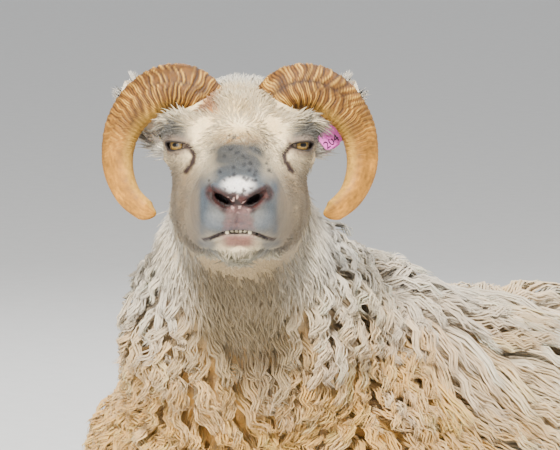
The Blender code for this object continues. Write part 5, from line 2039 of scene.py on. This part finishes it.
@dataclass
class Teeth:
    """The tips of the lower front teeth, set along the lip's arc by Geometry Nodes."""

    count: int = 6
    pitch: float = 0.0044
    height: float = -0.086
    fall: float = 6.0
    sunk: float = 0.0009
    sides: int = 12
    half_width: float = 0.002
    half_thick: float = 0.0012
    profile: tuple = (
        (-0.006, 0.0), (-0.006, 0.8), (-0.001, 1.0), (0.001, 0.96), (0.0019, 0.7), (0.0021, 0.0),
    )
    inputs: tuple = (
        ("Tooth", "Geometry"), ("Count", "Int"), ("Pitch", "Float"),
        ("Depth", "Float"), ("Fall", "Float"), ("Finish", "Material"),
    )

    def tree(self) -> bpy.types.NodeTree:
        """Builds the tree that repeats one tooth along an arc.

        Returns:
            The tree, with inputs for the row's sizes and its finish.
        """
        tree = bpy.data.node_groups.new("tooth_row", "GeometryNodeTree")
        for name, kind in self.inputs:
            tree.interface.new_socket(name, in_out="INPUT", socket_type=f"NodeSocket{kind}")
        tree.interface.new_socket("Row", in_out="OUTPUT", socket_type="NodeSocketGeometry")
        sizes = tree.nodes.new("NodeGroupInput").outputs

        def sum_of(kind: str, first: Socket, second: Socket | float) -> Socket:
            """Joins two values by an operation."""
            node = tree.nodes.new("ShaderNodeMath")
            node.operation = kind
            tree.links.new(first, node.inputs[0])
            if isinstance(second, float):
                node.inputs[1].default_value = second
            else:
                tree.links.new(second, node.inputs[1])
            return node.outputs[0]

        def vector(**parts: Socket) -> Socket:
            """Makes a vector of some of its parts."""
            node = tree.nodes.new("ShaderNodeCombineXYZ")
            for axis, source in parts.items():
                tree.links.new(source, node.inputs[axis])
            return node.outputs[0]

        line = tree.nodes.new("GeometryNodeMeshLine")
        half = sum_of("MULTIPLY", sum_of("SUBTRACT", sizes["Count"], 1.0), -0.5)
        tree.links.new(sizes["Count"], line.inputs["Count"])
        tree.links.new(vector(X=sum_of("MULTIPLY", half, sizes["Pitch"])), line.inputs["Start Location"])
        tree.links.new(vector(X=sizes["Pitch"]), line.inputs["Offset"])
        across = tree.nodes.new("ShaderNodeSeparateXYZ")
        tree.links.new(tree.nodes.new("GeometryNodeInputPosition").outputs[0], across.inputs[0])
        bow = sum_of("MULTIPLY", sum_of("MULTIPLY", across.outputs[0], across.outputs[0]), -1.0)
        arc = tree.nodes.new("GeometryNodeSetPosition")
        shift = vector(Y=sum_of("MULTIPLY", bow, sizes["Depth"]), Z=sum_of("MULTIPLY", bow, sizes["Fall"]))
        tree.links.new(line.outputs["Mesh"], arc.inputs["Geometry"])
        tree.links.new(shift, arc.inputs["Offset"])
        copies = tree.nodes.new("GeometryNodeInstanceOnPoints")
        tree.links.new(arc.outputs[0], copies.inputs["Points"])
        tree.links.new(sizes["Tooth"], copies.inputs["Instance"])
        whole = tree.nodes.new("GeometryNodeRealizeInstances")
        tree.links.new(copies.outputs[0], whole.inputs[0])
        finish = tree.nodes.new("GeometryNodeSetMaterial")
        tree.links.new(whole.outputs[0], finish.inputs["Geometry"])
        tree.links.new(sizes["Finish"], finish.inputs["Material"])
        tree.links.new(finish.outputs[0], tree.nodes.new("NodeGroupOutput").inputs[0])
        return tree

    def tooth(self) -> Piece:
        """Makes one tooth tip in the head's axes, its root at zero."""
        angles = np.linspace(0, math.tau, self.sides, endpoint=False)[None]
        profile = np.array(self.profile)
        wide = self.half_width * profile[:, 1:] * np.cos(angles)
        thick = self.half_thick * profile[:, 1:] * np.sin(angles)
        points = np.stack([wide, thick, profile[:, :1] * np.ones_like(angles)], -1).reshape(-1, 3)
        mesh = bpy.data.meshes.new("tooth_tips")
        mesh.from_pydata(points.tolist(), [], ring_faces(len(profile), self.sides)[:, ::-1].tolist())
        mesh.polygons.foreach_set("use_smooth", np.ones(len(mesh.polygons), dtype=bool))
        return add_object("tooth_tips", mesh)

    def build(self, material: Material) -> Piece:
        """Makes the tooth tips as one piece.

        Args:
            material: Their finish.

        Returns:
            The piece.
        """
        half = (self.count - 1) / 2 * self.pitch
        spots = FACE.mark(np.array([[0.0, self.height], [half, self.height - self.fall * half * half]]))
        bend = (spots[0] - spots[1]) / half**2
        piece, tree = self.tooth(), self.tree()
        row = piece.modifiers.new("row", "NODES")
        row.node_group = tree
        names = {item.name: item.identifier for item in tree.interface.items_tree if item.in_out == "INPUT"}
        values = {"Count": self.count, "Pitch": self.pitch, "Finish": material}
        values |= {"Depth": float(bend[1]), "Fall": float(bend[2])}
        for name, value in values.items():
            row[names[name]] = value
        settle(piece)
        points = HEAD.world(points_of(piece) + spots[0] - np.array([0, self.sunk, 0]))
        piece.data.vertices.foreach_set("co", points.astype(np.float32).ravel())
        piece.data.update()
        LOG.info("teeth: %d points", len(points))
        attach(piece, "root")
        return piece


@dataclass
class Studio:
    """Floor, lights and the camera."""

    width: float = 0.56
    distance: float = 5.0
    raised: float = math.radians(6)
    frame_shift: tuple = (0.0405, -0.079)
    reach: float = 40.0
    sensor: float = 36.0
    aim: tuple = (0.08, -0.2, 0.4)
    floor_colour: tuple = (0.72, 0.72, 0.71)
    sky: tuple = (0.97, 0.98, 1.0)
    sky_strength: float = 0.7
    lamps: tuple = (
        ("key", (1.75, -2.55, 3.25), 400.0, 0.4, (1.0, 0.95, 0.85)),
        ("fill", (0.3, -3.0, 0.4), 54.0, 1.6, (1.0, 0.97, 0.93)),
        ("top", (0.9, 1.4, 3.0), 95.0, 1.4, (1.0, 0.97, 0.92)),
        ("rim", (-1.9, 1.8, 2.2), 45.0, 1.4, (0.96, 0.98, 1.0)),
    )

    def floor(self) -> None:
        """Lays a wide pale floor."""
        finish = Finish("pale_floor", 0.85)
        grain = finish.noise(finish.place(), 30.0)
        finish.colour_by(finish.flat(self.floor_colour), finish.vary(grain, 0.98, 1.02))
        corners = self.reach * np.array([(-1, -1, 0), (1, -1, 0), (1, 1, 0), (-1, 1, 0)], float)
        mesh = bpy.data.meshes.new("floor")
        mesh.from_pydata([tuple(c) for c in corners], [], [(0, 1, 2, 3)])
        mesh.materials.append(finish.made)
        add_object("floor", mesh)

    def lamp(self, name: str, place: tuple, power: float, size: float, colour: tuple) -> None:
        """Hangs an area light that faces the sheep's head.

        Args:
            name: Its name.
            place: Where it hangs.
            power: Watts.
            size: Side of the light.
            colour: Its colour.
        """
        data = bpy.data.lights.new(name, "AREA")
        data.energy, data.size, data.color = power, size, colour
        light = add_object(name, data)
        light.location = place
        light.rotation_euler = (Vector(self.aim) - Vector(place)).to_track_quat("-Z", "Y").to_euler()

    def camera(self) -> None:
        """Sets the camera square to the face, slightly above it."""
        forward = -HEAD.level * math.cos(self.raised) - np.array([0, 0, math.sin(self.raised)])
        up = np.array([0, 0, math.cos(self.raised)]) - HEAD.level * math.sin(self.raised)
        side = HEAD.side
        aim = np.array(HEAD.middle) + self.frame_shift[0] * side + self.frame_shift[1] * up
        place = aim - forward * self.distance
        data = bpy.data.cameras.new("camera")
        data.sensor_width = self.sensor
        data.lens = self.sensor * self.distance / self.width
        camera = add_object("camera", data)
        rows = [[side[i], up[i], -forward[i], place[i]] for i in range(3)] + [[0, 0, 0, 1]]
        camera.matrix_world = Matrix(rows)
        bpy.context.scene.camera = camera

    def build(self) -> None:
        """Sets up the studio."""
        self.camera()
        self.floor()
        for lamp in self.lamps:
            self.lamp(*lamp)
        world = bpy.data.worlds.new("studio")
        world.use_nodes = True
        backdrop = world.node_tree.nodes["Background"]
        backdrop.inputs["Color"].default_value = (*self.sky, 1.0)
        backdrop.inputs["Strength"].default_value = self.sky_strength
        bpy.context.scene.world = world


def quads_of(piece: Piece) -> Pair:
    """Points and quads of a mesh of quads."""
    rows = np.empty(len(piece.data.loops), np.int32)
    piece.data.loops.foreach_get("vertex_index", rows)
    return points_of(piece), rows.reshape(-1, 4)


def dress_solids(frame: dict, hoof: Material) -> None:
    """Gives the carried-over hooves their finish.

    Args:
        frame: The loaded frame.
        hoof: The hooves' finish.
    """
    for name in frame["nodes"]:
        if name.startswith("hoof"):
            solid = bpy.data.objects[name]
            solid.data.materials.clear()
            solid.data.materials.append(hoof)


def main() -> None:
    """Builds the sheep and its studio."""
    logging.basicConfig(level=logging.INFO, format="%(message)s")
    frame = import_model()
    Studio().build()
    hide = skin_finish()
    wool = hair_finish("long_wool", 0.78, 0.25)
    short = hair_finish("short_hair", 0.7, 0.2)
    skin = SKIN.build(hide)
    LOG.info("skin: %d faces", len(skin.data.polygons))
    surface = quads_of(skin)
    head = SKIN.beyond_head(surface[0][surface[1]].mean(axis=1)) < 0.02
    BACK_WOOL.build(surface, wool)
    CHEST_WOOL.build(surface, wool)
    NeckHair().build(surface, wool)
    FaceHair().build((surface[0], surface[1][head]), short)
    LegHair().build(surface, wool)
    ringed, wet = horn_finish(), eye_finish()
    for side, hand in (("left", 1), ("right", -1)):
        Horn(f"horn_{side}_sheath", hand).build(ringed)
        EyeBall(f"eyeball_{side}", hand).build(wet)
        ear = EarShell(f"ear_{side}_shell", hand)
        ear.build(hide)
        ear.hair().piece(f"ear_coat_{side}", Layer.FACE, short, head_unwrap)
        LOG.info("%s horn, eye and ear", side)
    Teeth().build(PlainFinish("tooth", (222, 208, 176), 0.35).make())
    plastic = PlainFinish("pink_plastic", (228, 98, 206), 0.42, 120.0, 0.00005, 0.05).make()
    EarTag().build(plastic, PlainFinish("dark_ink", (34, 10, 28), 0.5).make())
    dress_solids(frame, PlainFinish("dull_hoof", (74, 60, 50), 0.55, 160.0, 0.0006, 0.25).make())


if __name__ == "__main__":
    main()
